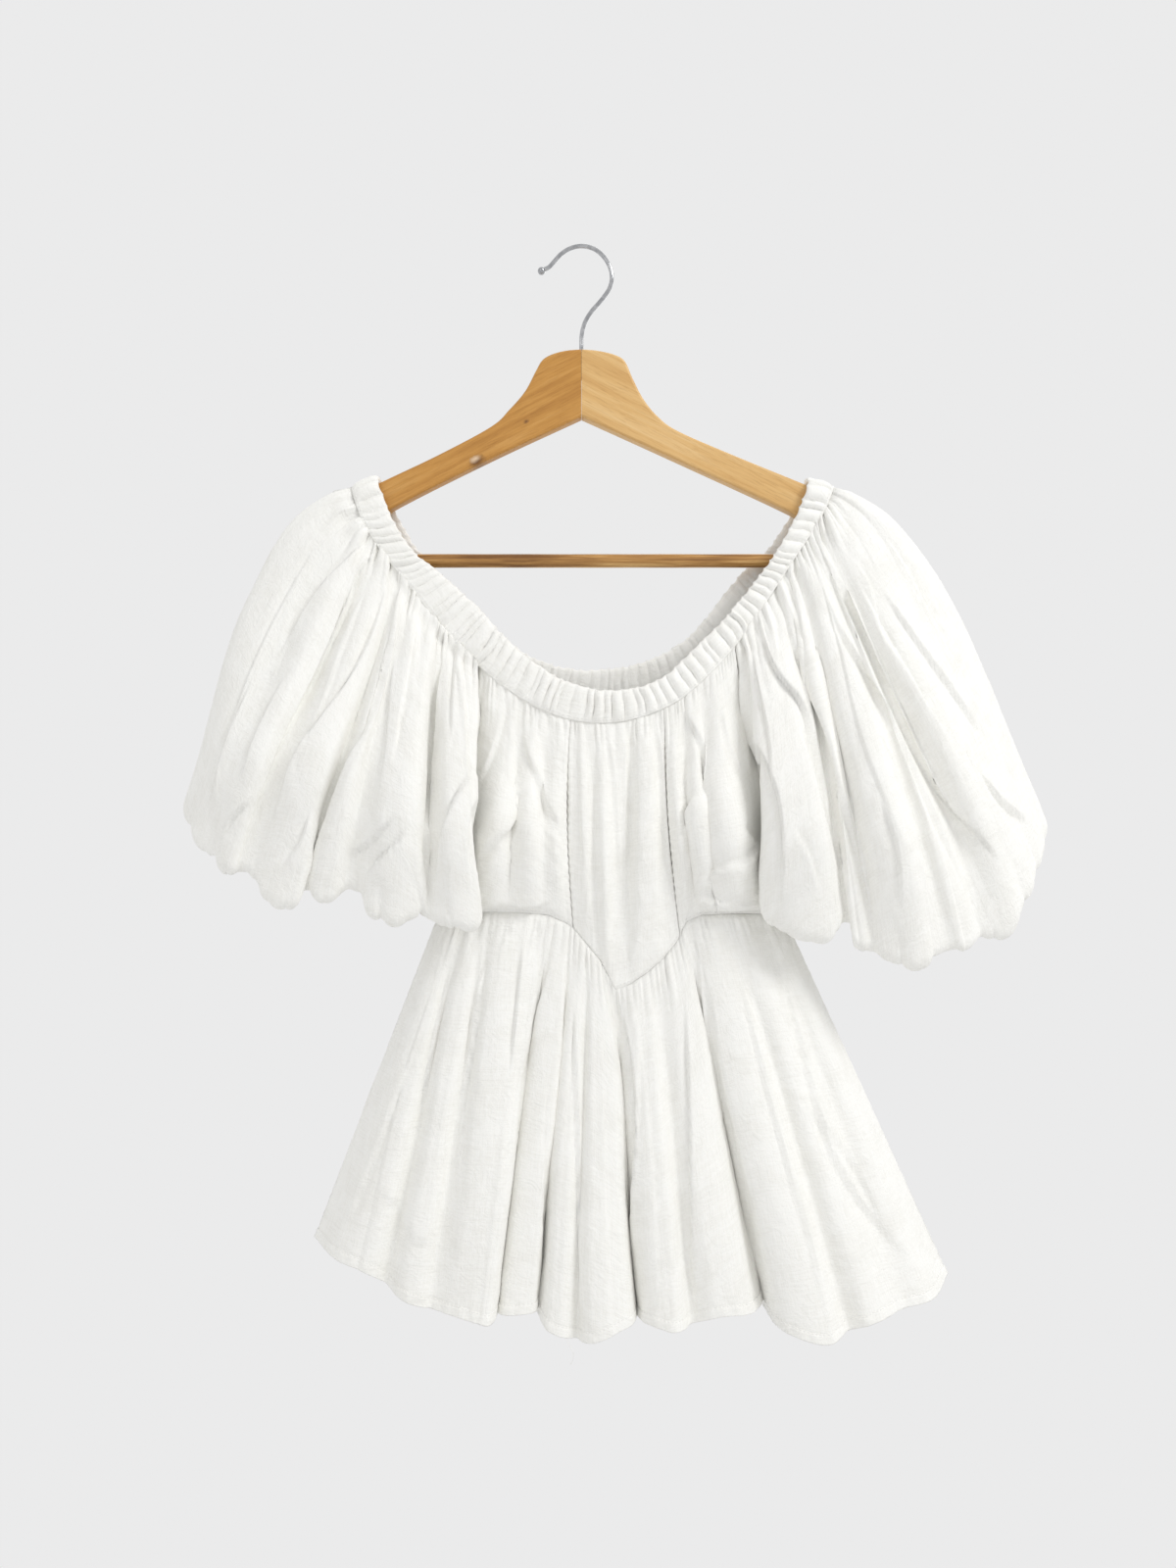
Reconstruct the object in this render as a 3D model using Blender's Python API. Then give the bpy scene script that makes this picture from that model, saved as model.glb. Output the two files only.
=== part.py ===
"""Off-the-shoulder linen blouse with bubble sleeves and a basque peplum, on a wooden hanger.

Frame: +X to the right as seen from the front, +Y to the back, +Z up. The origin is the inner
top of the hook, where a rail holds the hanger. Tables are in millimetres; a front row and the
row that lies behind it have opposite signs of y.
"""
import math
from collections import namedtuple

import bmesh
import bpy
from mathutils import Matrix, Vector

MM = 0.001

# Cloth sizes, in millimetres
WALL = 1.5            # thickness of every cloth wall
SEAM_GAP = 0.3        # space between two pieces at a seam
CASING_GAP = 0.45     # space between the neck casing and what hangs from it
CASING_HALF = 1.3     # half thickness of the casing between gathers
CASING_GATHER = 1.5   # how far a gather stands up from that
CASING_GATHERS = 96   # gathers all round the neck
CASING_SEAT = (4.5, 5.8)   # how much thicker the gathers bunch where they lie on the wood, left and right
SEAT_REACH = 9.0      # how far that reaches to the front and back
PANEL_GATHER = 1.1    # small puckers under the casing
PANEL_GATHER_REACH = 0.22
WAIST_GATHER = 1.7    # puckers of the peplum under the waist seam
WAIST_GATHER_REACH = 0.34
CUFF_HEIGHT = 17.0
CUFF_GATHER = 0.9
HEM_ROLL = 4.0        # width of the rounded bottom of a sleeve
HEM_LIFT = 1.5
HEM_SMOOTHING = 3     # columns over which its folds even out on the way in
MOST_MITRE = 2.0      # how much further than the wall a sharp fold may reach

# Hanger sizes, in millimetres
HANGER_HALF = 6.0     # half thickness of the wood
HANGER_ROUND = 1.8    # rounding of its long edges
MITRE_X = 1.0         # where the two halves meet
BAR_Z = -239.3
BAR_RADIUS = 5.15
PIN_RADIUS = 3.0      # turned end of the bar
PIN_LENGTH = 14.0
BAR_SPAN = (-186.0, 205.0)
WIRE_RADIUS = 1.65
BALL_RADIUS = 2.9
BORE_PLAY = 0.3
HOOK_DEPTH = 22.0     # how far the hook goes down into the wood

LEVELS = 8            # steps from the neck to the waist, and from the neck to the sleeve hem
ARMHOLE_LEVEL = 6     # the step at which the raglan seams meet under the arm
PEPLUM_LEVELS = 7

# The casing: inner and outer edge of the band at each station, going round from the left
# shoulder over the front to the right shoulder and back behind the neck.
Station = namedtuple("Station", "inner_x inner_z outer_x outer_z y")
NECK_FRONT = [
    Station(-154, -175, -174, -183.5, 0),
    Station(-152, -183, -172, -191, -10),
    Station(-143, -207, -164, -212, -12.5),
    Station(-126, -234, -149, -236, -16),
    Station(-106, -251, -128, -262, -19),
    Station(-76, -278, -98, -299, -24),
    Station(-45, -311, -61, -335, -30),
    Station(-8, -335, -17, -360, -34),
    Station(26, -341, 26, -365, -36),
    Station(58, -333, 67, -352, -35),
    Station(83, -311, 96, -329, -31),
    Station(108, -286, 120, -302, -26),
    Station(130, -259, 144, -267, -22),
    Station(148, -234, 163, -238, -18),
    Station(163, -207, 181, -211, -13),
    Station(172, -183, 191, -189, -10),
]
NECK_BACK = [
    Station(173, -176.5, 193, -183.5, 0),
    Station(171, -182, 190, -189, 10),
    Station(161, -205, 180, -211, 12),
    Station(143, -231, 160, -238, 12.5),
    Station(122, -250, 137, -262, 13),
    Station(80, -299, 91, -317, 14),
    Station(27, -320, 27, -344, 15),
    Station(-36, -312, -46, -334, 14),
    Station(-98, -259, -116, -277, 13),
    Station(-122, -233, -146, -240, 12.5),
    Station(-140, -206, -162, -213, 12),
    Station(-151, -182, -171, -190, 10),
]

# The waist seam of the front, side to side, dipping to the point of the basque
Waist = namedtuple("Waist", "x z y")
WAIST_FRONT = [
    Waist(-108, -508, 0),
    Waist(-101, -507, -12),
    Waist(-89, -506, -21),
    Waist(-70, -505, -27),
    Waist(-45, -505, -29),
    Waist(-23, -507, -29),
    Waist(-6, -515, -28),
    Waist(4, -527, -29),
    Waist(15, -540, -30),
    Waist(26, -562, -30),
    Waist(37, -558, -30),
    Waist(49, -550, -30),
    Waist(61, -540, -29),
    Waist(71, -528, -28),
    Waist(79, -512, -28),
    Waist(90, -507, -29),
    Waist(115, -506, -29),
    Waist(135, -507, -21),
    Waist(148, -508, -12),
    Waist(155, -508, 0),
]
WAIST_BACK = [
    Waist(-108, -508, 0),
    Waist(-101, -507, 9),
    Waist(-85, -506, 14),
    Waist(-40, -505, 16),
    Waist(25, -505, 17),
    Waist(90, -505, 16),
    Waist(132, -506, 14),
    Waist(148, -507, 9),
    Waist(155, -508, 0),
]

# Vertical folds of the bodice, a row for each crest or valley; bow leans it sideways halfway
Pleat = namedtuple("Pleat", "neck_x waist_x bow y_upper y_lower")
SEAM_LEFT = Pleat(-7, -5, -3, -37, -35)
SEAM_RIGHT = Pleat(62, 74, -3, -36, -34)
FRONT_SIDE_LEFT = [
    Pleat(-69, -98, 10, -31, -21),
    Pleat(-60, -83, 6, -35, -35),
    Pleat(-51, -66, 3, -38, -46),
    Pleat(-43, -52, 0, -34, -38),
    Pleat(-34, -38, 0, -41, -48),
    Pleat(-26, -27, 0, -36, -42),
    Pleat(-17, -15, -1, -41, -45),
    SEAM_LEFT,
]
FRONT_CENTRE = [
    SEAM_LEFT,
    Pleat(1, 5, 0, -42, -40),
    Pleat(9, 12, 0, -38, -36),
    Pleat(17, 19, 0, -43, -41),
    Pleat(28, 25, 0, -36, -34),
    Pleat(38, 34, 0, -35, -33),
    Pleat(43, 43, 0, -44, -41),
    Pleat(52, 56, 0, -44, -41),
    Pleat(57, 65, -1, -38, -36),
    SEAM_RIGHT,
]
FRONT_SIDE_RIGHT = [
    SEAM_RIGHT,
    Pleat(68, 80, -3, -41, -45),
    Pleat(75, 87, -2, -36, -39),
    Pleat(82, 94, -2, -42, -48),
    Pleat(90, 101, -2, -36, -38),
    Pleat(98, 114, -2, -42, -50),
    Pleat(105, 129, -3, -36, -36),
    Pleat(111, 143, -6, -31, -22),
]
BACK_BODICE = [
    Pleat(-74, -96, 8, 17, 14),
    Pleat(-60, -74, 2, 17, 22),
    Pleat(-46, -54, 0, 14, 16),
    Pleat(-30, -32, 0, 19, 23),
    Pleat(-12, -12, 0, 15, 17),
    Pleat(8, 8, 0, 20, 23),
    Pleat(26, 28, 0, 16, 18),
    Pleat(44, 48, 0, 20, 24),
    Pleat(62, 70, 0, 15, 17),
    Pleat(80, 90, 0, 19, 23),
    Pleat(96, 114, -2, 15, 18),
    Pleat(109, 140, -6, 17, 14),
]

# Side edge of front and back bodice: raglan seam down to the armhole, side seam below it
SideEdge = namedtuple("SideEdge", "level x y_front y_back")
EDGE_LEFT = [
    SideEdge(0, -76, -27, 13),
    SideEdge(2, -77, -24, 13),
    SideEdge(4, -82, -15, 9),
    SideEdge(6, -95, 0, 0),
    SideEdge(8, -108, 0, 0),
]
EDGE_RIGHT = [
    SideEdge(0, 116, -27, 13),
    SideEdge(2, 121, -24, 13),
    SideEdge(4, 129, -15, 9),
    SideEdge(6, 143, 0, 0),
    SideEdge(8, 155, 0, 0),
]
NECK_EDGE_X = {"left": (-76, -80), "right": (116, 116)}

# Folds of the bubble sleeves from the casing to the hem, a row for each crest or valley.
# y_upper and y_lower are the depths a third and two thirds down.
Puff = namedtuple("Puff", "neck_x hem_x hem_z bow y_upper y_lower y_hem")
LEFT_SLEEVE_FRONT = [
    Puff(-78, -98, -492, 2, -37, -31, -25),
    Puff(-82, -80, -504, 4, -47, -52, -36),
    Puff(-88, -73, -513, 1, -52, -64, -46),
    Puff(-98, -89, -516, 0, -50, -68, -55),
    Puff(-106, -108, -507, 0, -38, -50, -50),
    Puff(-111, -119, -506, 0, -52, -70, -53),
    Puff(-121, -145, -512, 0, -50, -70, -54),
    Puff(-131, -167, -485, 3, -41, -57, -48),
    Puff(-136, -187, -498, 6, -46, -63, -50),
    Puff(-142, -202, -486, 10, -34, -50, -45),
    Puff(-147, -211, -499, 10, -43, -64, -49),
    Puff(-152, -231, -494, 8, -43, -62, -47),
    Puff(-156, -248, -470, 3, -31, -48, -41),
    Puff(-160, -261, -475, -4, -38, -56, -42),
    Puff(-164, -276, -464, -14, -26, -44, -35),
    Puff(-168, -289, -453, -25, -22, -35, -27),
    Puff(-172, -300, -439, -34, -11, -18, -14),
]
LEFT_SLEEVE_BACK = [
    Puff(-171, -299, -438, -34, 11, 14, 11),
    Puff(-164, -288, -450, -24, 15, 20, 17),
    Puff(-154, -268, -464, -9, 14, 18, 17),
    Puff(-144, -247, -474, 2, 18, 25, 20),
    Puff(-134, -224, -482, 7, 15, 19, 18),
    Puff(-124, -198, -488, 7, 19, 26, 21),
    Puff(-114, -172, -490, 5, 15, 19, 18),
    Puff(-104, -146, -492, 3, 18, 24, 19),
    Puff(-92, -124, -490, 1, 15, 17, 12),
]
RIGHT_SLEEVE_FRONT = [
    Puff(118, 148, -492, 1, -37, -33, -30),
    Puff(122, 133, -498, 1, -46, -54, -42),
    Puff(128, 138, -515, 1, -52, -67, -50),
    Puff(136, 159, -520, 3, -52, -71, -55),
    Puff(144, 180, -523, 4, -50, -68, -53),
    Puff(150, 193, -511, 4, -38, -51, -49),
    Puff(156, 203, -531, 1, -45, -60, -51),
    Puff(161, 213, -528, 0, -38, -53, -48),
    Puff(165, 227, -541, 1, -47, -67, -52),
    Puff(169, 250, -542, 2, -47, -71, -54),
    Puff(173, 268, -531, 3, -39, -58, -48),
    Puff(176, 283, -531, 0, -41, -60, -48),
    Puff(180, 299, -525, -3, -28, -44, -42),
    Puff(183, 311, -523, -5, -27, -42, -41),
    Puff(185, 322, -511, -2, -32, -51, -39),
    Puff(187, 333, -496, 5, -29, -44, -33),
    Puff(189, 345, -477, 17, -19, -31, -23),
    Puff(191, 353, -461, 30, -11, -17, -12),
]
RIGHT_SLEEVE_BACK = [
    Puff(190, 354, -456, 33, 11, 14, 11),
    Puff(183, 338, -480, 14, 15, 20, 17),
    Puff(174, 315, -502, 3, 14, 18, 17),
    Puff(165, 290, -515, -4, 18, 25, 20),
    Puff(157, 263, -522, -2, 15, 19, 18),
    Puff(149, 237, -520, 1, 19, 26, 21),
    Puff(141, 211, -512, 3, 15, 19, 18),
    Puff(133, 186, -504, 3, 18, 24, 19),
    Puff(124, 165, -496, 1, 15, 17, 12),
]
# Top line of each sleeve, over the shoulder and down its outer side
LEFT_RIDGE = Puff(-174, -304, -430, -36, 0, 0, 0)
RIGHT_RIDGE = Puff(193, 358, -446, 36, 0, 0, 0)

# The gathered ring that each sleeve turns up into, and the end of its underarm seam
Cuff = namedtuple("Cuff", "x y z half_width half_depth rise underarm_x underarm_z")
LEFT_CUFF = Cuff(-196, -15, -457, 56, 12, 0.20, -112, -489)
RIGHT_CUFF = Cuff(243, -15, -480, 58, 12, 0.06, 160, -489)

# Folds of the peplum from the waist seam to the hem, a row for each crest or valley
Fold = namedtuple("Fold", "waist_x hem_x hem_z y_upper y_lower y_hem")
PEPLUM_FRONT = [
    Fold(-108, -203, -756, 0, 0, 0),
    Fold(-101, -180, -760, -22, -30, -34),
    Fold(-95, -158, -764, -29, -40, -46),
    Fold(-86, -141, -775, -25, -34, -40),
    Fold(-79, -124, -782, -36, -48, -56),
    Fold(-70, -107, -788, -31, -44, -52),
    Fold(-59, -88, -790, -42, -56, -62),
    Fold(-41, -73, -793, -44, -58, -66),
    Fold(-29, -65, -795, -41, -55, -62),
    Fold(-22, -61, -795, -28, -28, -24),
    Fold(-16, -53, -794, -36, -44, -48),
    Fold(-11, -38, -792, -38, -46, -50),
    Fold(-6, -31, -793, -31, -33, -32),
    Fold(0, -20, -803, -40, -50, -58),
    Fold(6, -2, -809, -36, -46, -52),
    Fold(11, 12, -806, -42, -56, -66),
    Fold(18, 33, -797, -40, -53, -61),
    Fold(26, 41, -800, -28, -26, -22),
    Fold(35, 50, -796, -40, -52, -58),
    Fold(46, 66, -799, -44, -58, -66),
    Fold(56, 81, -798, -38, -50, -54),
    Fold(65, 101, -790, -42, -56, -62),
    Fold(72, 122, -790, -40, -51, -56),
    Fold(79, 136, -791, -28, -27, -24),
    Fold(86, 147, -800, -40, -54, -60),
    Fold(100, 174, -807, -44, -60, -68),
    Fold(111, 193, -803, -36, -48, -54),
    Fold(123, 212, -796, -38, -52, -58),
    Fold(137, 236, -792, -26, -37, -43),
    Fold(147, 260, -789, -22, -30, -34),
    Fold(155, 281, -784, 0, 0, 0),
]
PEPLUM_BACK = [
    Fold(-108, -203, -756, 0, 0, 0),
    Fold(-98, -172, -763, 18, 24, 26),
    Fold(-80, -140, -774, 15, 18, 18),
    Fold(-62, -110, -783, 24, 32, 36),
    Fold(-46, -84, -790, 18, 20, 20),
    Fold(-30, -56, -795, 25, 33, 37),
    Fold(-12, -26, -799, 18, 20, 19),
    Fold(6, 4, -802, 26, 34, 39),
    Fold(26, 36, -803, 19, 21, 21),
    Fold(46, 68, -802, 26, 35, 40),
    Fold(64, 100, -801, 18, 20, 20),
    Fold(82, 132, -799, 25, 34, 38),
    Fold(100, 166, -797, 18, 21, 21),
    Fold(120, 204, -794, 24, 32, 35),
    Fold(143, 248, -789, 16, 20, 22),
    Fold(155, 281, -784, 0, 0, 0),
]

# Outline of each half of the hanger from the middle outwards: upper edge, then lower edge
Edge = namedtuple("Edge", "x z")
ARM_LEFT_UPPER = [
    Edge(-11, -80), Edge(-22, -83), Edge(-29, -87.5), Edge(-34, -96), Edge(-42, -111),
    Edge(-54, -125), Edge(-68, -138), Edge(-108, -159.5), Edge(-151, -180), Edge(-190, -199.5),
    Edge(-211, -219), Edge(-220, -234), Edge(-216, -246),
]
ARM_LEFT_LOWER = [
    Edge(-205, -252), Edge(-193, -246), Edge(-170, -220), Edge(-144, -201), Edge(-70, -163.5),
]
ARM_RIGHT_UPPER = [
    Edge(13, -80), Edge(26, -83), Edge(34, -88), Edge(40, -101), Edge(48, -116.5),
    Edge(59, -130), Edge(75, -141.5), Edge(120, -161), Edge(169, -181), Edge(206, -196.5),
    Edge(229, -219), Edge(239, -235), Edge(235, -247),
]
ARM_RIGHT_LOWER = [
    Edge(224, -252), Edge(212, -246), Edge(188, -222), Edge(162, -204.5), Edge(76, -164.5),
]
HEAD_TOP_Z = -79.0
HEAD_FOOT_Z = -130.5

# Centre line of the hook's wire, from just behind the ball to where it enters the wood
Bend = namedtuple("Bend", "x z")
HOOK = [
    Bend(-27.5, -16.4), Bend(-23.5, -14.2), Bend(-19.5, -9.8), Bend(-14.5, -4.4), Bend(-7.5, -0.1),
    Bend(0.6, 1.65), Bend(9, 0.2), Bend(15.5, -3.9), Bend(20.5, -10), Bend(23.6, -17),
    Bend(24.2, -24), Bend(22, -31.5), Bend(16, -40), Bend(8.5, -48.6), Bend(3.6, -57),
    Bend(1.3, -66), Bend(MITRE_X, -76), Bend(MITRE_X, -88), Bend(MITRE_X, HEAD_TOP_Z - HOOK_DEPTH),
]


def point(x, y, z):
    """A point given in millimetres."""
    return Vector((x, y, z)) * MM


def spline(before, start, end, after, t):
    """A smooth step from start to end, for numbers or vectors."""
    return 0.5 * (2 * start + (end - before) * t
                  + (2 * before - 5 * start + 4 * end - after) * t * t
                  + (3 * start - before - 3 * end + after) * t * t * t)


def along(values, position):
    """The value at a position along an open list, rounded between its entries."""
    last = len(values) - 1
    i = min(max(int(math.floor(position)), 0), last - 1)
    before = values[i - 1] if i > 0 else 2 * values[0] - values[1]
    after = values[i + 2] if i + 2 <= last else 2 * values[last] - values[last - 1]
    return spline(before, values[i], values[i + 1], after, position - i)


def round_about(values, position):
    """The value at a position along a closed list."""
    n = len(values)
    i = int(math.floor(position))
    return spline(values[(i - 1) % n], values[i % n], values[(i + 1) % n], values[(i + 2) % n],
                  position - i)


def lookup(rows, x):
    """The other columns of a table at x, straight between its rows."""
    for a, b in zip(rows, rows[1:]):
        if a.x <= x <= b.x:
            t = (x - a.x) / (b.x - a.x)
            return [p + (q - p) * t for p, q in zip(a[1:], b[1:])]
    nearest = rows[0] if x < rows[0].x else rows[-1]
    return list(nearest[1:])


# The neck, as two closed lines

NECK = NECK_FRONT + NECK_BACK
INNER = [point(s.inner_x, s.y, s.inner_z) for s in NECK]
OUTER = [point(s.outer_x, s.y, s.outer_z) for s in NECK]
RIGHT_TOP = len(NECK_FRONT)


def neck_position(x, back):
    """Where the outer edge of the casing passes x, as a position round the neck."""
    low, high = (RIGHT_TOP, len(NECK)) if back else (0, RIGHT_TOP)
    rising = not back
    for _ in range(40):
        middle = (low + high) / 2
        if (round_about(OUTER, middle).x < x * MM) == rising:
            low = middle
        else:
            high = middle
    return (low + high) / 2


def neck_frame(position):
    """Outer edge, the way down across the band, and the way out of the cloth."""
    edge = round_about(OUTER, position)
    across = (edge - round_about(INNER, position)).normalized()
    run = (round_about(OUTER, position + 0.02) - round_about(OUTER, position - 0.02)).normalized()
    out = across.cross(run).normalized()
    return edge, across, out


def hang_from_neck(x, back=False):
    """The point just under the casing at x, and the way out of the cloth there."""
    edge, across, out = neck_frame(neck_position(x, back))
    return edge + across * CASING_GAP * MM + out * (WALL / 2) * MM, out


# Solids from grids of points

def add_object(name, bm, material):
    """Put a finished mesh in the part's collection, with its faces outwards."""
    if bm.calc_volume(signed=True) < 0:
        bmesh.ops.reverse_faces(bm, faces=bm.faces)
    mesh = bpy.data.meshes.new(name)
    bm.to_mesh(mesh)
    bm.free()
    obj = bpy.data.objects.new(name, mesh)
    obj.data.materials.append(material)
    PART.objects.link(obj)
    return obj


def bisect(line, k):
    """The direction of a line at one of its points, and how sharply it bends there."""
    before = (line[k] - line[k - 1]).normalized() if k > 0 else None
    after = (line[k + 1] - line[k]).normalized() if k + 1 < len(line) else None
    both = (before or after) + (after or before)
    return both.normalized(), 1 / max(0.45, both.length / 2)


def inward(grid, turn, fixed):
    """From each point to the other side of the cloth; fixed gives the way at chosen points."""
    columns = [[row[i] for row in grid] for i in range(len(grid[0]))]
    steps = []
    for j, row in enumerate(grid):
        steps.append([])
        for i in range(len(row)):
            du, sharp_u = bisect(row, i)
            dv, sharp_v = bisect(columns[i], j)
            step = (du.cross(dv) * turn).normalized() * min(MOST_MITRE, sharp_u * sharp_v)
            steps[j].append(fixed.get((i, j), step) * WALL * MM)
    return steps


def sheet_solid(name, grid, turn, fixed, material):
    """A wall of cloth whose outer side passes through the points of the grid."""
    steps = inward(grid, turn, fixed)
    bm = bmesh.new()
    face = [[bm.verts.new(p) for p in row] for row in grid]
    lining = [[bm.verts.new(p + step) for p, step in zip(row, steps[j])] for j, row in enumerate(grid)]
    rows, columns = len(grid), len(grid[0])
    for j in range(rows - 1):
        for i in range(columns - 1):
            a, b, c, d = (i, j), (i + 1, j), (i + 1, j + 1), (i, j + 1)
            if (grid[a[1]][a[0]] - grid[c[1]][c[0]]).length > (grid[b[1]][b[0]] - grid[d[1]][d[0]]).length:
                a, b, c, d = b, c, d, a
            for side, order in ((face, (a, b, c, d)), (lining, (a, d, c, b))):
                at = [side[q][p] for p, q in order]
                bm.faces.new((at[0], at[1], at[2]))
                bm.faces.new((at[0], at[2], at[3]))
    rim = ([(i, 0) for i in range(columns)] + [(columns - 1, j) for j in range(1, rows)]
           + [(i, rows - 1) for i in range(columns - 2, -1, -1)] + [(0, j) for j in range(rows - 2, 0, -1)])
    for (i, j), (k, m) in zip(rim, rim[1:] + rim[:1]):
        bm.faces.new((face[m][k], face[j][i], lining[j][i]))
        bm.faces.new((face[m][k], lining[j][i], lining[m][k]))
    return add_object(name, bm, material)


def tube_solid(name, rings, material):
    """A closed solid through rings that follow one another round a loop."""
    bm = bmesh.new()
    made = [[bm.verts.new(p) for p in ring] for ring in rings]
    n = len(rings[0])
    for ring, following in zip(made, made[1:] + made[:1]):
        for k in range(n):
            a, b = ring[k], ring[(k + 1) % n]
            c, d = following[(k + 1) % n], following[k]
            bm.faces.new((a, b, c))
            bm.faces.new((a, c, d))
    return add_object(name, bm, material)


def across(columns, steps):
    """A grid through control columns, with steps between each two of them."""
    count = (len(columns) - 1) * steps + 1
    return [[along([column[j] for column in columns], i / steps) for i in range(count)]
            for j in range(len(columns[0]))]


# Cloth pieces

def make_casing():
    """The gathered elastic band round the neck."""
    count = CASING_GATHERS * 2
    lengths = [0.0]
    fine = 40 * len(NECK)
    for k in range(fine):
        step = (round_about(OUTER, (k + 1) * len(NECK) / fine) - round_about(OUTER, k * len(NECK) / fine))
        lengths.append(lengths[-1] + step.length)
    rings, k = [], 0
    for i in range(count):
        target = lengths[-1] * i / count
        while lengths[k + 1] < target:
            k += 1
        t = (target - lengths[k]) / (lengths[k + 1] - lengths[k])
        position = (k + t) * len(NECK) / fine
        edge, way, out = neck_frame(position)
        width = (edge - round_about(INNER, position)).length
        puff = CASING_HALF + (CASING_GATHER if i % 2 else 0)
        lip = 0.8 * MM if i % 2 else -0.8 * MM
        seat = CASING_SEAT[0 if edge.x < 0 else 1] * max(0.0, 1 - abs(edge.y) / (SEAT_REACH * MM))
        section = [
            (0.0, 0.8, lip), (0.22, puff, 0), (0.62, puff + 0.2, 0), (1.0, 1.1, 0),
            (1.0, -1.1, 0), (0.45, -CASING_HALF - 0.3 - seat, 0), (0.0, -0.8 - seat, lip),
        ]
        rings.append([edge - way * (width * (1 - s) + rise) + out * h * MM for s, h, rise in section])
    return tube_solid("neck_casing", rings, LINEN)


def side_edge(side, back):
    """Points down the side of a bodice panel, raglan seam and side seam together."""
    table = EDGE_LEFT if side == "left" else EDGE_RIGHT
    sign = 1 if back else -1
    top, _ = hang_from_neck(NECK_EDGE_X[side][1 if back else 0], back)
    waist_z = -508 * MM
    column = []
    for level in range(LEVELS + 1):
        at = [(e.level, e.x, e.y_back if back else e.y_front) for e in table]
        k = max(i for i in range(len(at) - 1) if at[i][0] <= level or i == 0)
        t = (level - at[k][0]) / (at[k + 1][0] - at[k][0])
        x = at[k][1] + (at[k + 1][1] - at[k][1]) * t
        y = at[k][2] + (at[k + 1][2] - at[k][2]) * t
        if level >= ARMHOLE_LEVEL:
            y = sign * SEAM_GAP / 2
        z = top.z + (waist_z - top.z) * level / LEVELS
        column.append(top if level == 0 else Vector((x * MM, y * MM, z)))
    return column


def pleat_column(row, back=False):
    """Points down one fold of the bodice."""
    top, _ = hang_from_neck(row.neck_x, back)
    z, y = lookup(WAIST_BACK if back else WAIST_FRONT, row.waist_x)
    foot = point(row.waist_x, y, z)
    depths = [top.y, row.y_upper * MM, row.y_lower * MM, foot.y]
    column = []
    for level in range(LEVELS + 1):
        v = level / LEVELS
        p = top.lerp(foot, v)
        p.x += row.bow * MM * math.sin(math.pi * v)
        p.y = along(depths, v * 3)
        column.append(p)
    return column


def pucker(grid, reach, size, start=0, skip=()):
    """Move every other column in and out near the top, fading downwards."""
    last = len(grid) - 1
    for j in range(1, len(grid)):
        fade = max(0.0, 1 - j / last / reach)
        for i in range(len(grid[j])):
            if i in skip:
                continue
            sign = 1 if (i + start) % 2 else -1
            grid[j][i] = grid[j][i] + Vector((0, sign * size * fade * MM, 0))


def shift(column, dx):
    return [p + Vector((dx * MM, 0, 0)) for p in column]


def neck_ways(grid, xs, back):
    """The way into the cloth along the top edge of a piece."""
    return {(i, 0): -hang_from_neck(x, back)[1] for i, x in enumerate(xs)}


def panel(name, rows, ends, back=False):
    """A bodice panel between two ready end columns, with folds between them."""
    first, last = ends
    columns = [pleat_column(row, back) for row in rows]
    columns = ([first] if first else []) + columns + ([last] if last else [])
    if not first:
        columns[0] = shift(columns[0], SEAM_GAP / 2)
    if not last:
        columns[-1] = shift(columns[-1], -SEAM_GAP / 2)
    grid = across(columns, 2)
    for i in range(len(grid[0])):
        grid[0][i], _ = hang_from_neck(grid[0][i].x / MM, back)
    waist = WAIST_BACK if back else WAIST_FRONT
    for i in range(1, len(grid[0]) - 1):
        z, y = lookup(waist, grid[-1][i].x / MM)
        grid[-1][i] = Vector((grid[-1][i].x, y * MM, z * MM))
    edge_columns = (0, len(grid[0]) - 1)
    pucker(grid, PANEL_GATHER_REACH, PANEL_GATHER, skip=edge_columns)
    turn = -1 if back else 1
    fixed = neck_ways(grid, [p.x / MM for p in grid[0]], back)
    into = Vector((0, turn, 0))
    for j in range(1, len(grid)):
        for i in edge_columns:
            side = Vector((1 if i == 0 else -1, 0, 0))
            outer = (first and i == 0) or (last and i > 0)
            seam = side if outer and j >= ARMHOLE_LEVEL else into
            fixed[i, j] = (seam + side * 0.3).normalized() if outer and j < ARMHOLE_LEVEL else seam
    for i in range(1, len(grid[0]) - 1):
        fixed[i, len(grid) - 1] = into
    sheet_solid(name, grid, turn, fixed, LINEN)
    return grid


def sleeve_column(row, back):
    """Points down one fold of a sleeve."""
    top, _ = hang_from_neck(row.neck_x, back)
    foot = point(row.hem_x, row.y_hem, row.hem_z)
    depths = [top.y, row.y_upper * MM, row.y_lower * MM, foot.y]
    column = []
    for level in range(LEVELS + 1):
        v = level / LEVELS
        p = top.lerp(foot, v)
        p.x += row.bow * MM * math.sin(math.pi * math.sqrt(v))
        p.y = along(depths, v * 3)
        column.append(p)
    return column


def cuff_point(cuff, share):
    """A point of the ring where the sleeve ends, by its share of the way round from the underarm."""
    outward = -1 if cuff.x < 0 else 1
    fine = 180
    ring = [(-math.cos(2 * math.pi * k / fine) * cuff.half_width,
             -math.sin(2 * math.pi * k / fine) * cuff.half_depth) for k in range(fine + 1)]
    lengths = [0.0]
    for one, two in zip(ring, ring[1:]):
        lengths.append(lengths[-1] + math.dist(one, two))
    target = share * lengths[-1]
    k = min(max(n for n in range(fine + 1) if lengths[n] <= target + 1e-9), fine - 1)
    t = (target - lengths[k]) / (lengths[k + 1] - lengths[k])
    a, y = (one + (two - one) * t for one, two in zip(ring[k], ring[k + 1]))
    return point(cuff.x + outward * a, cuff.y + y, cuff.z + cuff.rise * a)


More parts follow.
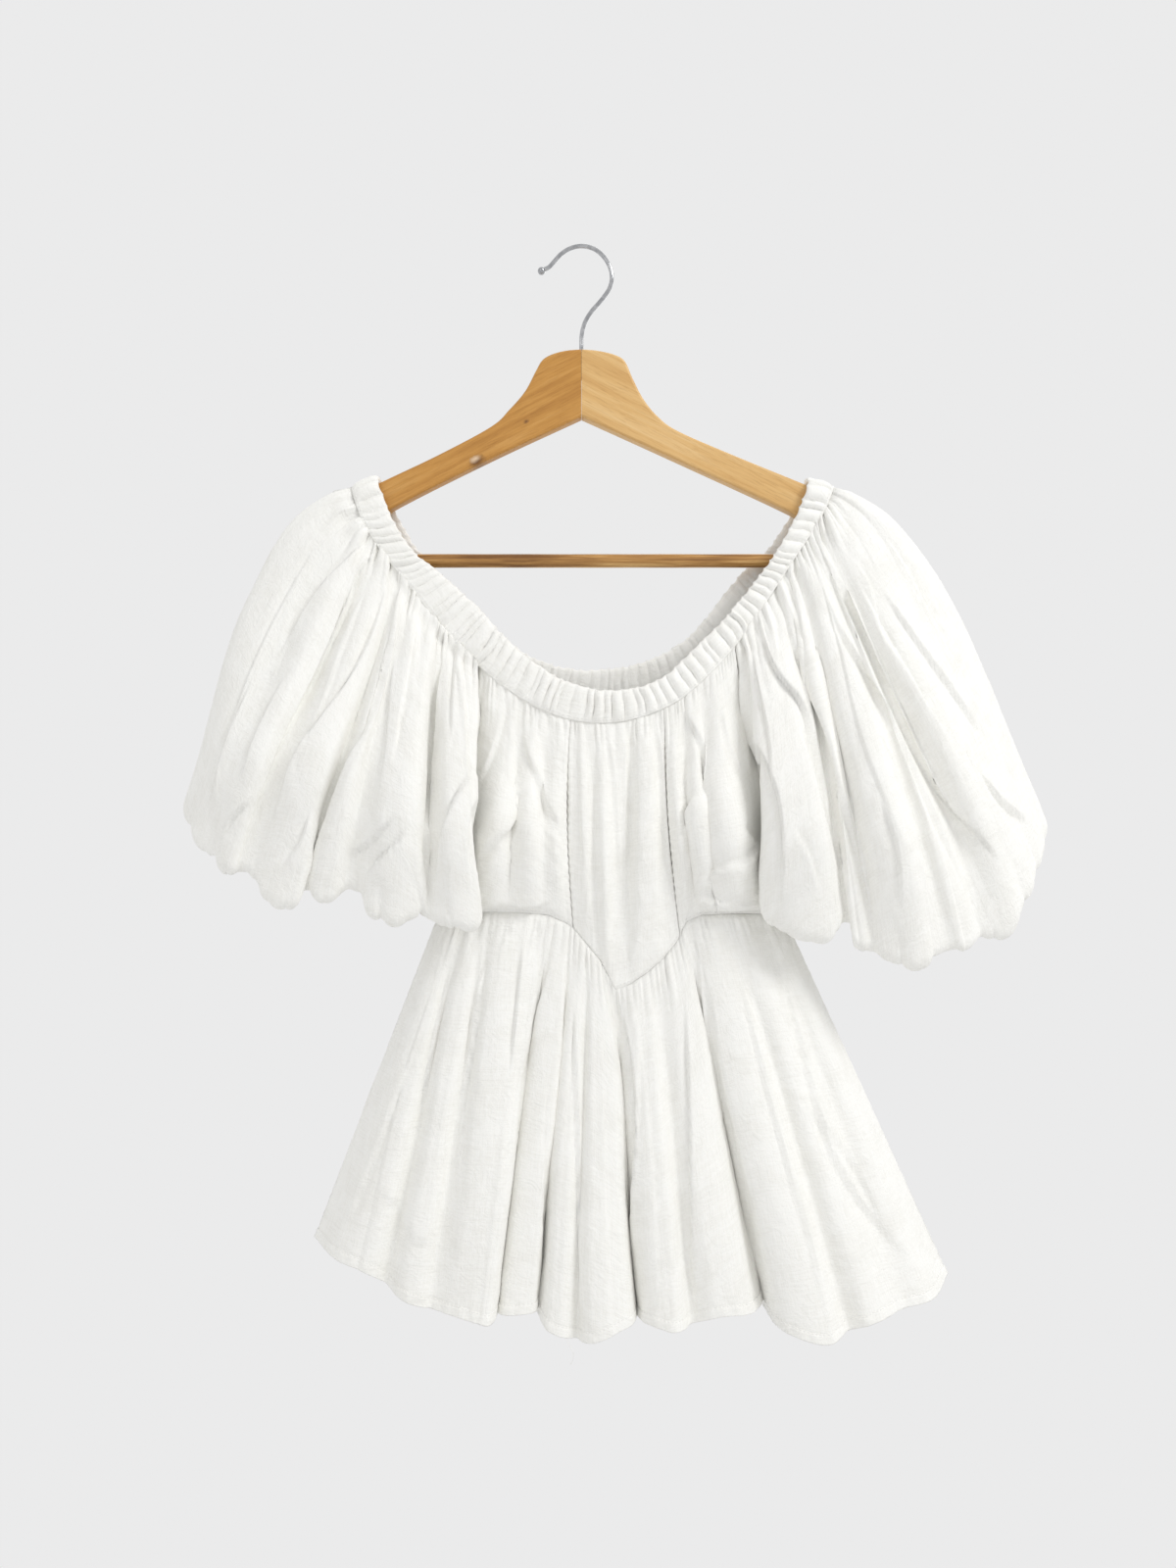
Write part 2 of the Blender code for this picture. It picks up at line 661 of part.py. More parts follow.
def turn_up(grid, cuff, shares):
    """Three more rows of a sleeve: round under the hem, in under the arm, and the end at the cuff."""
    hem = grid[-1]
    last = len(hem) - 1
    ends = [cuff_point(cuff, share) for share in shares]
    into = 1 if cuff.x < 0 else -1
    roll, under = [], []
    for i, (foot, end) in enumerate(zip(hem, ends)):
        way = Vector((end.x - foot.x, end.y - foot.y, 0))
        if 0 < i < last:
            run, _ = bisect([Vector((p.x, p.y, 0)) for p in hem], i)
            way = Vector((run.y * into, -run.x * into, 0)) * way.length
        near = range(max(i - HEM_SMOOTHING, 0), min(i + HEM_SMOOTHING, last) + 1)
        even = sum(hem[k].z for k in near) / len(near)
        roll.append(foot + way.normalized() * min(HEM_ROLL * MM, 0.3 * way.length))
        under.append(foot.lerp(end, 0.55))
        if end.z > foot.z:
            roll[-1].z += HEM_LIFT * MM
            under[-1].z = max(end.z + 0.5 * (even - end.z), foot.z + 0.35 * (end.z - foot.z))
    for row in (roll, under, ends):
        row[0].y, row[last].y = row[0].y, row[0].y
        row[0].y -= SEAM_GAP / 2 * MM
        row[last].y += SEAM_GAP / 2 * MM
        row[last].x, row[last].z = row[0].x, row[0].z
    return grid + [roll, under, ends]


def sleeve(name, side, front_rows, ridge, back_rows, cuff, front_edge, back_edge):
    """A bubble sleeve from the front raglan seam round to the back one."""
    outward = -1 if side == "left" else 1
    turn = outward
    n_front, n_back = len(front_rows), len(back_rows)
    ends = []
    for edge, sign in ((front_edge, -1), (back_edge, 1)):
        column = shift(edge[:ARMHOLE_LEVEL + 1], outward * SEAM_GAP)
        for t in (0.5, 1.0):
            p = column[ARMHOLE_LEVEL].lerp(point(cuff.underarm_x, 0, cuff.underarm_z), t)
            p.y = sign * SEAM_GAP / 2 * MM
            column.append(p)
        ends.append(column)
    columns = [ends[0]]
    columns += [sleeve_column(row, False) for row in front_rows]
    columns.append(sleeve_column(ridge, False))
    columns += [sleeve_column(row, True) for row in back_rows]
    columns.append(ends[1])
    grid = across(columns, 2)
    middle = 2 * (n_front + 1)
    shares = [0.5 * i / middle for i in range(middle)]
    shares += [0.5 + 0.25 * k / (n_back + 1) for k in range(2 * (n_back + 1) + 1)]
    grid = turn_up(grid, cuff, shares)
    for i in range(len(grid[0])):
        x = grid[0][i].x / MM
        grid[0][i], _ = hang_from_neck(x, i > middle)
    pucker(grid, PANEL_GATHER_REACH, PANEL_GATHER, skip=(0, 1, middle - 1, middle, middle + 1,
                                                         len(grid[0]) - 2, len(grid[0]) - 1))
    fixed = {}
    for i in range(len(grid[0])):
        fixed[i, 0] = -hang_from_neck(grid[0][i].x / MM, i > middle)[1]
        du, _ = bisect(grid[LEVELS], i)
        wall = (du.cross(grid[LEVELS][i] - grid[LEVELS - 1][i]) * turn).normalized()
        floor = (du.cross(grid[LEVELS + 1][i] - grid[LEVELS][i]) * turn).normalized()
        fixed[i, LEVELS] = (wall + floor) / max(0.5, 1 + wall.dot(floor))
        for j in range(LEVELS + 1, LEVELS + 4):
            du, _ = bisect(grid[j], i)
            dv, _ = bisect([row[i] for row in grid[LEVELS:]], j - LEVELS)
            flat = abs(du.cross(dv).normalized().z)
            fixed[i, j] = Vector((0, 0, 1 / max(0.5, flat)))
    for i, depth in ((0, 0.6), (len(grid[0]) - 1, -0.6)):
        for j in range(1, LEVELS):
            fixed[i, j] = Vector((outward, depth if j < ARMHOLE_LEVEL else 0, 0)).normalized()
        fixed[i, LEVELS] = Vector((outward, 0, 1))
    sheet_solid(name, grid, turn, fixed, LINEN)
    make_cuff(name.replace("sleeve", "cuff"), cuff, grid[-1])
    return grid


def make_cuff(name, cuff, ring):
    """A narrow gathered band that hangs inside the sleeve from the ring where the cloth ends."""
    centre = point(cuff.x, cuff.y, cuff.z)
    loop = ring[:-1]
    rings = []
    for i, p in enumerate(loop):
        inner = Vector((centre.x - p.x, centre.y - p.y, 0))
        inner.x *= cuff.half_depth / cuff.half_width
        inner.normalize()
        gather = CUFF_GATHER if i % 2 else 0
        top = p + inner * SEAM_GAP * MM + Vector((0, 0, 0.6 * MM))
        foot = top + Vector((0, 0, -CUFF_HEIGHT * MM)) + inner * gather * MM
        rings.append([top, foot, foot + inner * WALL * MM, top + inner * (WALL + gather) * MM])
    tube_solid(name, rings, LINEN)


def waist_line(grids):
    """The points just under the lower edges of panels that lie side by side."""
    line = []
    for grid in grids:
        row = grid[-1]
        if line:
            line[-1] = (line[-1] + row[0]) / 2
            row = row[1:]
        line.extend(row)
    below = []
    for i, p in enumerate(line):
        run = line[min(i + 1, len(line) - 1)] - line[max(i - 1, 0)]
        down = Vector((run.z, 0, -run.x)).normalized()
        bend = 1.0
        if 0 < i < len(line) - 1:
            one, two = (line[i] - line[i - 1]).normalized(), (line[i + 1] - line[i]).normalized()
            bend = max(0.6, math.sqrt(max(0.0, (1 + one.dot(two)) / 2)))
        below.append(p + down * (SEAM_GAP / bend) * MM)
    return below


def peplum(name, rows, line, back):
    """The gathered skirt of the blouse; each fold starts at the column nearest its waist_x."""
    starts = [min(range(len(line)), key=lambda k: abs(line[k].x - row.waist_x * MM)) for row in rows]
    starts[0], starts[-1] = 0, len(line) - 1
    for k in range(1, len(starts)):
        starts[k] = max(starts[k], starts[k - 1] + 1)
    grid = [[] for _ in range(PEPLUM_LEVELS + 1)]
    for i, top in enumerate(line):
        k = max(n for n in range(len(rows) - 1) if starts[n] <= i)
        position = k + (i - starts[k]) / (starts[k + 1] - starts[k])
        hem_x, hem_z, y_upper, y_lower, y_hem = (
            along([float(row[c]) for row in rows], position) for c in range(1, 6))
        depths = [top.y, y_upper * MM, y_lower * MM, y_hem * MM]
        foot = point(hem_x, y_hem, hem_z)
        for level in range(PEPLUM_LEVELS + 1):
            v = level / PEPLUM_LEVELS
            p = top.lerp(foot, v)
            p.y = along(depths, v * 3)
            grid[level].append(p)
    side = (SEAM_GAP / 2 if back else -SEAM_GAP / 2) * MM
    for row in grid:
        row[0].y = row[-1].y = side
    edge_columns = (0, len(line) - 1)
    pucker(grid, WAIST_GATHER_REACH, WAIST_GATHER, skip=edge_columns)
    turn = -1 if back else 1
    fixed = {(i, 0): Vector((0, turn, 0)) for i in range(len(line))}
    for j in range(len(grid)):
        fixed[0, j] = Vector((1, 0, 0))
        fixed[edge_columns[1], j] = Vector((-1, 0, 0))
    sheet_solid(name, grid, turn, fixed, LINEN)
    return grid


# The hanger

def arm_outline(upper, lower, inner_x):
    """The closed outline of one half of the hanger."""
    return ([point(inner_x, 0, HEAD_TOP_Z)] + [point(e.x, 0, e.z) for e in upper]
            + [point(e.x, 0, e.z) for e in lower] + [point(inner_x, 0, HEAD_FOOT_Z)])


def make_arm(name, upper, lower, side):
    """One half of the hanger: a shaped board with rounded long edges and two bores."""
    inner_x = MITRE_X + side * SEAM_GAP / 2
    bm = bmesh.new()
    half = Vector((0, HANGER_HALF * MM, 0))
    outline = arm_outline(upper, lower, inner_x)
    front = bm.faces.new([bm.verts.new(p - half) for p in outline])
    made = bmesh.ops.extrude_face_region(bm, geom=[front])
    back_verts = [v for v in made["geom"] if isinstance(v, bmesh.types.BMVert)]
    bmesh.ops.translate(bm, verts=back_verts, vec=half * 2)
    bmesh.ops.recalc_face_normals(bm, faces=bm.faces)
    mitre = inner_x * MM
    long_edges = [e for e in bm.edges
                  if abs(e.verts[0].co.y - e.verts[1].co.y) < 1e-6
                  and not all(abs(v.co.x - mitre) < 1e-6 for v in e.verts)]
    bmesh.ops.bevel(bm, geom=long_edges, offset=HANGER_ROUND * MM, segments=2, profile=0.5,
                    affect="EDGES", clamp_overlap=True)
    arm = add_object(name, bm, WOOD)
    bar_end = BAR_SPAN[0] if side < 0 else BAR_SPAN[1]
    length = PIN_LENGTH + 12
    bore = cylinder(PIN_RADIUS + BORE_PLAY, length, 16)
    place(bore, Matrix.Rotation(math.pi / 2, 4, "Y"),
          point(bar_end + side * (PIN_LENGTH + BORE_PLAY - length / 2), 0, BAR_Z))
    cut(arm, bore)
    shoulder = cylinder(BAR_RADIUS + 5, 12, 16)
    place(shoulder, Matrix.Rotation(math.pi / 2, 4, "Y"),
          point(bar_end + side * (BORE_PLAY - 6), 0, BAR_Z))
    cut(arm, shoulder)
    hole = cylinder(WIRE_RADIUS + BORE_PLAY, HOOK_DEPTH + 10, 12)
    place(hole, Matrix.Identity(4),
          point(MITRE_X, 0, HEAD_TOP_Z - HOOK_DEPTH - BORE_PLAY + (HOOK_DEPTH + 10) / 2))
    cut(arm, hole)
    return arm


def cylinder(radius, depth, segments):
    """A cylinder along Z about the origin, in millimetres."""
    bm = bmesh.new()
    bmesh.ops.create_cone(bm, cap_ends=True, segments=segments, radius1=radius * MM,
                          radius2=radius * MM, depth=depth * MM)
    return bm


def place(bm, turned, where):
    bmesh.ops.transform(bm, matrix=Matrix.Translation(where) @ turned, verts=bm.verts)


def cut(target, bm):
    """Take the given shape out of an object."""
    mesh = bpy.data.meshes.new("cutter")
    bm.to_mesh(mesh)
    bm.free()
    cutter = bpy.data.objects.new("cutter", mesh)
    PART.objects.link(cutter)
    step = target.modifiers.new("cut", "BOOLEAN")
    step.operation = "DIFFERENCE"
    step.solver = "EXACT"
    step.object = cutter
    bpy.context.view_layer.update()
    ready = bpy.data.meshes.new_from_object(target.evaluated_get(bpy.context.evaluated_depsgraph_get()))
    target.modifiers.clear()
    target.data = ready
    bpy.data.objects.remove(cutter, do_unlink=True)


def make_bar():
    """The round bar, with a thinner turned pin at each end."""
    start, end = BAR_SPAN
    profile = [
        (start - PIN_LENGTH, PIN_RADIUS), (start, PIN_RADIUS), (start, BAR_RADIUS - 0.8),
        (start + 0.8, BAR_RADIUS), (end - 0.8, BAR_RADIUS), (end, BAR_RADIUS - 0.8),
        (end, PIN_RADIUS), (end + PIN_LENGTH, PIN_RADIUS),
    ]
    segments = 16
    bm = bmesh.new()
    rings = []
    for x, r in profile:
        rings.append([bm.verts.new(point(x, r * math.cos(2 * math.pi * k / segments),
                                         BAR_Z + r * math.sin(2 * math.pi * k / segments)))
                      for k in range(segments)])
    for one, two in zip(rings, rings[1:]):
        for k in range(segments):
            bm.faces.new((one[k], one[(k + 1) % segments], two[(k + 1) % segments], two[k]))
    bm.faces.new(rings[0][::-1])
    bm.faces.new(rings[-1])
    return add_object("hanger_bar", bm, WOOD_BAR)


def make_hook():
    """The wire hook with a small ball at its tip."""
    segments = 8
    path = [point(b.x, 0, b.z) for b in HOOK]
    bends = len(path) - 4
    line = [along(path, i / 2) for i in range(2 * bends)] + path[bends:]
    tip_way = (line[0] - line[1]).normalized()
    radii = [WIRE_RADIUS] * len(line)
    centre = line[0] + tip_way * BALL_RADIUS * 0.8 * MM
    for k in range(2, 6):
        angle = math.pi * k / 6
        line.insert(0, centre - tip_way * math.cos(angle) * BALL_RADIUS * MM)
        radii.insert(0, math.sin(angle) * BALL_RADIUS)
    bm = bmesh.new()
    rings = []
    for i, p in enumerate(line):
        run = (line[min(i + 1, len(line) - 1)] - line[max(i - 1, 0)]).normalized()
        side = Vector((0, 1, 0))
        up = run.cross(side).normalized()
        rings.append([bm.verts.new(p + (side * math.cos(2 * math.pi * k / segments)
                                        + up * math.sin(2 * math.pi * k / segments)) * radii[i] * MM)
                      for k in range(segments)])
    for one, two in zip(rings, rings[1:]):
        for k in range(segments):
            bm.faces.new((one[k], one[(k + 1) % segments], two[(k + 1) % segments], two[k]))
    bm.faces.new(rings[0][::-1])
    bm.faces.new(rings[-1])
    return add_object("hanger_hook", bm, CHROME)


def material(name, colour, roughness, metallic=0.0):
    made = bpy.data.materials.new(name)
    made.use_nodes = True
    shader = made.node_tree.nodes["Principled BSDF"]
    shader.inputs["Base Color"].default_value = (*colour, 1.0)
    shader.inputs["Roughness"].default_value = roughness
    shader.inputs["Metallic"].default_value = metallic
    made.diffuse_color = (*colour, 1.0)
    return made


for old in list(bpy.data.objects):
    bpy.data.objects.remove(old, do_unlink=True)
PART = bpy.data.collections.new("linen_blouse")
bpy.context.scene.collection.children.link(PART)

LINEN = material("linen", (0.86, 0.85, 0.82), 0.85)
WOOD = material("wood", (0.62, 0.36, 0.14), 0.4)
WOOD_BAR = material("wood_bar", (0.42, 0.24, 0.12), 0.5)
CHROME = material("chrome", (0.75, 0.76, 0.78), 0.15, 1.0)

make_arm("hanger_arm_left", ARM_LEFT_UPPER, ARM_LEFT_LOWER, -1)
make_arm("hanger_arm_right", ARM_RIGHT_UPPER, ARM_RIGHT_LOWER, 1)
make_bar()
make_hook()
make_casing()

front_left_edge, back_left_edge = side_edge("left", False), side_edge("left", True)
front_right_edge, back_right_edge = side_edge("right", False), side_edge("right", True)
left_panel = panel("front_side_left", FRONT_SIDE_LEFT, (front_left_edge, None))
centre_panel = panel("front_centre", FRONT_CENTRE, (None, None))
right_panel = panel("front_side_right", FRONT_SIDE_RIGHT, (None, front_right_edge))
back_panel = panel("back_bodice", BACK_BODICE, (back_left_edge, back_right_edge), back=True)

sleeve("sleeve_left", "left", LEFT_SLEEVE_FRONT, LEFT_RIDGE, LEFT_SLEEVE_BACK, LEFT_CUFF,
       front_left_edge, back_left_edge)
sleeve("sleeve_right", "right", RIGHT_SLEEVE_FRONT, RIGHT_RIDGE, RIGHT_SLEEVE_BACK, RIGHT_CUFF,
       front_right_edge, back_right_edge)

peplum("peplum_front", PEPLUM_FRONT, waist_line([left_panel, centre_panel, right_panel]), False)
peplum("peplum_back", PEPLUM_BACK, waist_line([back_panel]), True)
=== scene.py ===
"""Looks of an off-the-shoulder linen blouse on its wooden hanger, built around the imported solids.

Frame: +X to the right as seen from the front, +Y to the back, +Z up, origin at the inner top of
the hook. Tables and shape functions are in millimetres; meshes are made in metres. Every cloth
piece is a thin shell on the form of its solid, sampled more finely, with the smaller folds,
gathers, hems and stitching added as heights along its surface.
"""

import math
from collections import namedtuple

import bmesh
import bpy
import numpy as np
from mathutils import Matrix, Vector


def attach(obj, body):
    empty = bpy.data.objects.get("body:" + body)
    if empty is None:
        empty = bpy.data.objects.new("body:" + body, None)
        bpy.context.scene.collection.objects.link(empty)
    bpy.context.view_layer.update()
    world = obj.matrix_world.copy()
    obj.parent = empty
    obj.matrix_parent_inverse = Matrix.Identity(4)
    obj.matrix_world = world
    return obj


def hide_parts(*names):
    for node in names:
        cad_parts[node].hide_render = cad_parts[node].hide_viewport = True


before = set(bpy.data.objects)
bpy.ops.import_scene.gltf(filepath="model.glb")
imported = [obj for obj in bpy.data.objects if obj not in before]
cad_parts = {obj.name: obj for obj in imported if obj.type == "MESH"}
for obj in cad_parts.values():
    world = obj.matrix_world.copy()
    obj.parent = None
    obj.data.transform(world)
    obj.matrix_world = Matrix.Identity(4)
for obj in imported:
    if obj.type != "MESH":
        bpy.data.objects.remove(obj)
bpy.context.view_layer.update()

MM = 0.001

# Sizes shared with the solids, in millimetres
CASING_GAP = 0.45      # between the casing and the cloth below it
CASING_SEAT = (4.5, 5.8)  # how far it thickens onto the left and the right arm
SEAT_REACH = 9.0
SEAM_GAP = 0.3
WALL = 1.5
SIDE_FOOT_Z = -508.0   # where the side seams meet the waist
HANGER_HALF = 6.0      # half the thickness of its boards
BOARD_ROUND = 2.0
MITRE_X = 1.0
BAR_Z = -239.3
BAR_RADIUS = 5.15
PIN_RADIUS = 3.0
PIN_LENGTH = 14.0
BAR_SPAN = (-186.0, 205.0)
WIRE_RADIUS = 1.65
BALL_RADIUS = 2.9
HOOK_DEPTH = 22.0
LEVELS = 8
ARMHOLE_LEVEL = 6

# Sizes of the finer cloth
CLOTH = 0.9            # thickness of the shells
ROLL = 6.5             # rounding of the sleeve hem, inwards
ROLL_RISE = 9.0        # and upwards
ROLL_ANGLES = (108, 126, 145)
STEPS = 12             # columns between two folds of the bodice
SLEEVE_STEPS = 18      # and of a sleeve
PEPLUM_STEPS = (11, 22)  # and of the front and back peplum
UNDER_CASING = 2.5     # how far the cloth goes up behind the casing
UV_PER_METRE = 10
HEM_STITCHES = 7.2     # how far the stitching is from the edge beside it
WAIST_STITCHES = 2.2
CASING_ROUND = 1500    # columns round the casing, and its number of gathers
CASING_GATHERS = 134
BULGE = {"left": 6.0, "right": 10.0}  # fullness of the side fronts over the waist
OUTWARD = {"left": -1, "right": 1}

# Gathers that start at a seam: what is added to the piece's seed, their pitch, height and reach,
# how far they wander, the power that rounds them (less is flatter), and how far from the seam they
# start
Gathers = namedtuple("Gathers", "seed pitch height reach wander power start",
                     defaults=(1.0, 0.7, 1.0))
PANEL_GATHERS = (Gathers(0, 6.5, 2.3, 40), Gathers(1, 15, 1.0, 110, 1.2))
PANEL_FOOT_GATHERS = (Gathers(2, 11, 1.2, 24, start=0),)
SLEEVE_GATHERS = (Gathers(1, 7.5, 4.2, 50), Gathers(2, 14, 2.8, 120, 0.8),
                  Gathers(9, 17, 7.5, 40, 0.6, 0.3))
PEPLUM_GATHERS = (Gathers(1, 5.5, 2.6, 52, start=0), Gathers(2, 15, 0.9, 120, 0.5, start=0))

# The casing from its lower edge up its outside, over the top and down its inside: the share of the
# way down across it, the height out of its middle, and the share of a gather's puff
CASING_SECTION = (
    (1.0, 0.9, 0), (0.955, 1.0, 0.25), (0.9, 1.1, 0.5), (0.8, 1.25, 0.85), (0.66, 1.35, 1.0),
    (0.52, 1.4, 1.0), (0.38, 1.35, 1.0), (0.24, 1.3, 0.95), (0.12, 1.1, 0.8), (0.045, 0.7, 0.5),
    (0.0, 0.0, 0.2), (0.03, -0.7, 0.5), (0.12, -1.1, 0.9), (0.3, -1.3, 1.0), (0.5, -1.4, 1.0),
    (0.7, -1.3, 1.0), (0.88, -1.1, 0.7), (1.0, -0.9, 0.1))
# The cuff in the same way: how far down, and how far into the sleeve's ring
CUFF_SECTION = ((-0.5, 0.3), (3, 0.5), (7, 0.6), (12, 0.6), (15.5, 0.5), (16.9, 1.2), (15.5, 2.0),
                (11, 2.1), (6, 2.0), (-0.3, 1.8))


def table(kind, *rows):
    return [kind(*row) for row in rows]


# The casing: inner and outer edge of the band at each station, going round from the left
# shoulder over the front to the right shoulder and back behind the neck.
Station = namedtuple("Station", "inner_x inner_z outer_x outer_z y")
NECK_FRONT = table(Station,
    (-154, -175, -174, -183.5, 0), (-152, -183, -172, -191, -10), (-143, -207, -164, -212, -12.5),
    (-126, -234, -149, -236, -16), (-106, -251, -128, -262, -19), (-76, -278, -98, -299, -24),
    (-45, -311, -61, -335, -30), (-8, -335, -17, -360, -34), (26, -341, 26, -365, -36),
    (58, -333, 67, -352, -35), (83, -311, 96, -329, -31), (108, -286, 120, -302, -26),
    (130, -259, 144, -267, -22), (148, -234, 163, -238, -18), (163, -207, 181, -211, -13),
    (172, -183, 191, -189, -10))
NECK_BACK = table(Station,
    (173, -176.5, 193, -183.5, 0), (171, -182, 190, -189, 10), (161, -205, 180, -211, 12),
    (143, -231, 160, -238, 12.5), (122, -250, 137, -262, 13), (80, -299, 91, -317, 14),
    (27, -320, 27, -344, 15), (-36, -312, -46, -334, 14), (-98, -259, -116, -277, 13),
    (-122, -233, -146, -240, 12.5), (-140, -206, -162, -213, 12), (-151, -182, -171, -190, 10))

# The waist seam of the front, side to side, dipping to the point of the basque
Waist = namedtuple("Waist", "x z y")
WAIST_FRONT = table(Waist,
    (-108, -508, 0), (-101, -507, -12), (-89, -506, -21), (-70, -505, -27), (-45, -505, -29),
    (-23, -507, -29), (-6, -515, -28), (4, -527, -29), (15, -540, -30), (26, -562, -30),
    (37, -558, -30), (49, -550, -30), (61, -540, -29), (71, -528, -28), (79, -512, -28),
    (90, -507, -29), (115, -506, -29), (135, -507, -21), (148, -508, -12), (155, -508, 0))
WAIST_BACK = table(Waist,
    (-108, -508, 0), (-101, -507, 9), (-85, -506, 14), (-40, -505, 16), (25, -505, 17),
    (90, -505, 16), (132, -506, 14), (148, -507, 9), (155, -508, 0))

# Vertical folds of the bodice, a row for each crest or valley; bow leans it sideways halfway
Pleat = namedtuple("Pleat", "neck_x waist_x bow y_upper y_lower")
SEAM_LEFT = Pleat(-7, -5, -3, -37, -35)
SEAM_RIGHT = Pleat(62, 74, -3, -36, -34)
FRONT_SIDE_LEFT = table(Pleat,
    (-69, -98, 10, -31, -21), (-60, -83, 6, -35, -35), (-51, -66, 3, -38, -46),
    (-43, -52, 0, -34, -38), (-34, -38, 0, -41, -48), (-26, -27, 0, -36, -42),
    (-17, -15, -1, -41, -45), SEAM_LEFT)
FRONT_CENTRE = table(Pleat,
    SEAM_LEFT, (1, 5, 0, -42, -40), (9, 12, 0, -38, -36), (17, 19, 0, -43, -41),
    (28, 25, 0, -36, -34), (38, 34, 0, -35, -33), (43, 43, 0, -44, -41), (52, 56, 0, -44, -41),
    (57, 65, -1, -38, -36), SEAM_RIGHT)
FRONT_SIDE_RIGHT = table(Pleat,
    SEAM_RIGHT, (68, 80, -3, -41, -45), (75, 87, -2, -36, -39), (82, 94, -2, -42, -48),
    (90, 101, -2, -36, -38), (98, 114, -2, -42, -50), (105, 129, -3, -36, -36),
    (111, 143, -6, -31, -22))
BACK_BODICE = table(Pleat,
    (-74, -96, 8, 17, 14), (-60, -74, 2, 17, 22), (-46, -54, 0, 14, 16), (-30, -32, 0, 19, 23),
    (-12, -12, 0, 15, 17), (8, 8, 0, 20, 23), (26, 28, 0, 16, 18), (44, 48, 0, 20, 24),
    (62, 70, 0, 15, 17), (80, 90, 0, 19, 23), (96, 114, -2, 15, 18), (109, 140, -6, 17, 14))

# Side edge of front and back bodice: raglan seam down to the armhole, side seam below it
SideEdge = namedtuple("SideEdge", "level x y_front y_back")
EDGE_LEFT = table(SideEdge,
    (0, -76, -27, 13), (2, -77, -24, 13), (4, -82, -15, 9), (6, -95, 0, 0), (8, -108, 0, 0))
EDGE_RIGHT = table(SideEdge,
    (0, 116, -27, 13), (2, 121, -24, 13), (4, 129, -15, 9), (6, 143, 0, 0), (8, 155, 0, 0))
NECK_EDGE_X = {"left": (-76, -80), "right": (116, 116)}

# Folds of the bubble sleeves from the casing to the hem, a row for each crest or valley.
# y_upper and y_lower are the depths a third and two thirds down.
Puff = namedtuple("Puff", "neck_x hem_x hem_z bow y_upper y_lower y_hem")
LEFT_SLEEVE_FRONT = table(Puff,
    (-78, -98, -492, 2, -37, -31, -25), (-82, -80, -504, 4, -47, -52, -36),
    (-88, -73, -513, 1, -52, -64, -46), (-98, -89, -516, 0, -50, -68, -55),
    (-106, -108, -507, 0, -38, -50, -50), (-111, -119, -506, 0, -52, -70, -53),
    (-121, -145, -512, 0, -50, -70, -54), (-131, -167, -485, 3, -41, -57, -48),
    (-136, -187, -498, 6, -46, -63, -50), (-142, -202, -486, 10, -34, -50, -45),
    (-147, -211, -499, 10, -43, -64, -49), (-152, -231, -494, 8, -43, -62, -47),
    (-156, -248, -470, 3, -31, -48, -41), (-160, -261, -475, -4, -38, -56, -42),
    (-164, -276, -464, -14, -26, -44, -35), (-168, -289, -453, -25, -22, -35, -27),
    (-172, -300, -439, -34, -11, -18, -14))
LEFT_SLEEVE_BACK = table(Puff,
    (-171, -299, -438, -34, 11, 14, 11), (-164, -288, -450, -24, 15, 20, 17),
    (-154, -268, -464, -9, 14, 18, 17), (-144, -247, -474, 2, 18, 25, 20),
    (-134, -224, -482, 7, 15, 19, 18), (-124, -198, -488, 7, 19, 26, 21),
    (-114, -172, -490, 5, 15, 19, 18), (-104, -146, -492, 3, 18, 24, 19),
    (-92, -124, -490, 1, 15, 17, 12))
RIGHT_SLEEVE_FRONT = table(Puff,
    (118, 148, -492, 1, -37, -33, -30), (122, 133, -498, 1, -46, -54, -42),
    (128, 138, -515, 1, -52, -67, -50), (136, 159, -520, 3, -52, -71, -55),
    (144, 180, -523, 4, -50, -68, -53), (150, 193, -511, 4, -38, -51, -49),
    (156, 203, -531, 1, -45, -60, -51), (161, 213, -528, 0, -38, -53, -48),
    (165, 227, -541, 1, -47, -67, -52), (169, 250, -542, 2, -47, -71, -54),
    (173, 268, -531, 3, -39, -58, -48), (176, 283, -531, 0, -41, -60, -48),
    (180, 299, -525, -3, -28, -44, -42), (183, 311, -523, -5, -27, -42, -41),
    (185, 322, -511, -2, -32, -51, -39), (187, 333, -496, 5, -29, -44, -33),
    (189, 345, -477, 17, -19, -31, -23), (191, 353, -461, 30, -11, -17, -12))
RIGHT_SLEEVE_BACK = table(Puff,
    (190, 354, -456, 33, 11, 14, 11), (183, 338, -480, 14, 15, 20, 17),
    (174, 315, -502, 3, 14, 18, 17), (165, 290, -515, -4, 18, 25, 20),
    (157, 263, -522, -2, 15, 19, 18), (149, 237, -520, 1, 19, 26, 21),
    (141, 211, -512, 3, 15, 19, 18), (133, 186, -504, 3, 18, 24, 19),
    (124, 165, -496, 1, 15, 17, 12))
# Top line of each sleeve, over the shoulder and down its outer side
LEFT_RIDGE = Puff(-174, -304, -430, -36, 0, 0, 0)
RIGHT_RIDGE = Puff(193, 358, -446, 36, 0, 0, 0)

# The gathered ring that each sleeve turns up into, and the end of its underarm seam
Cuff = namedtuple("Cuff", "x y z half_width half_depth rise underarm_x underarm_z")
LEFT_CUFF = Cuff(-196, -15, -457, 56, 12, 0.20, -112, -489)
RIGHT_CUFF = Cuff(243, -15, -480, 58, 12, 0.06, 160, -489)

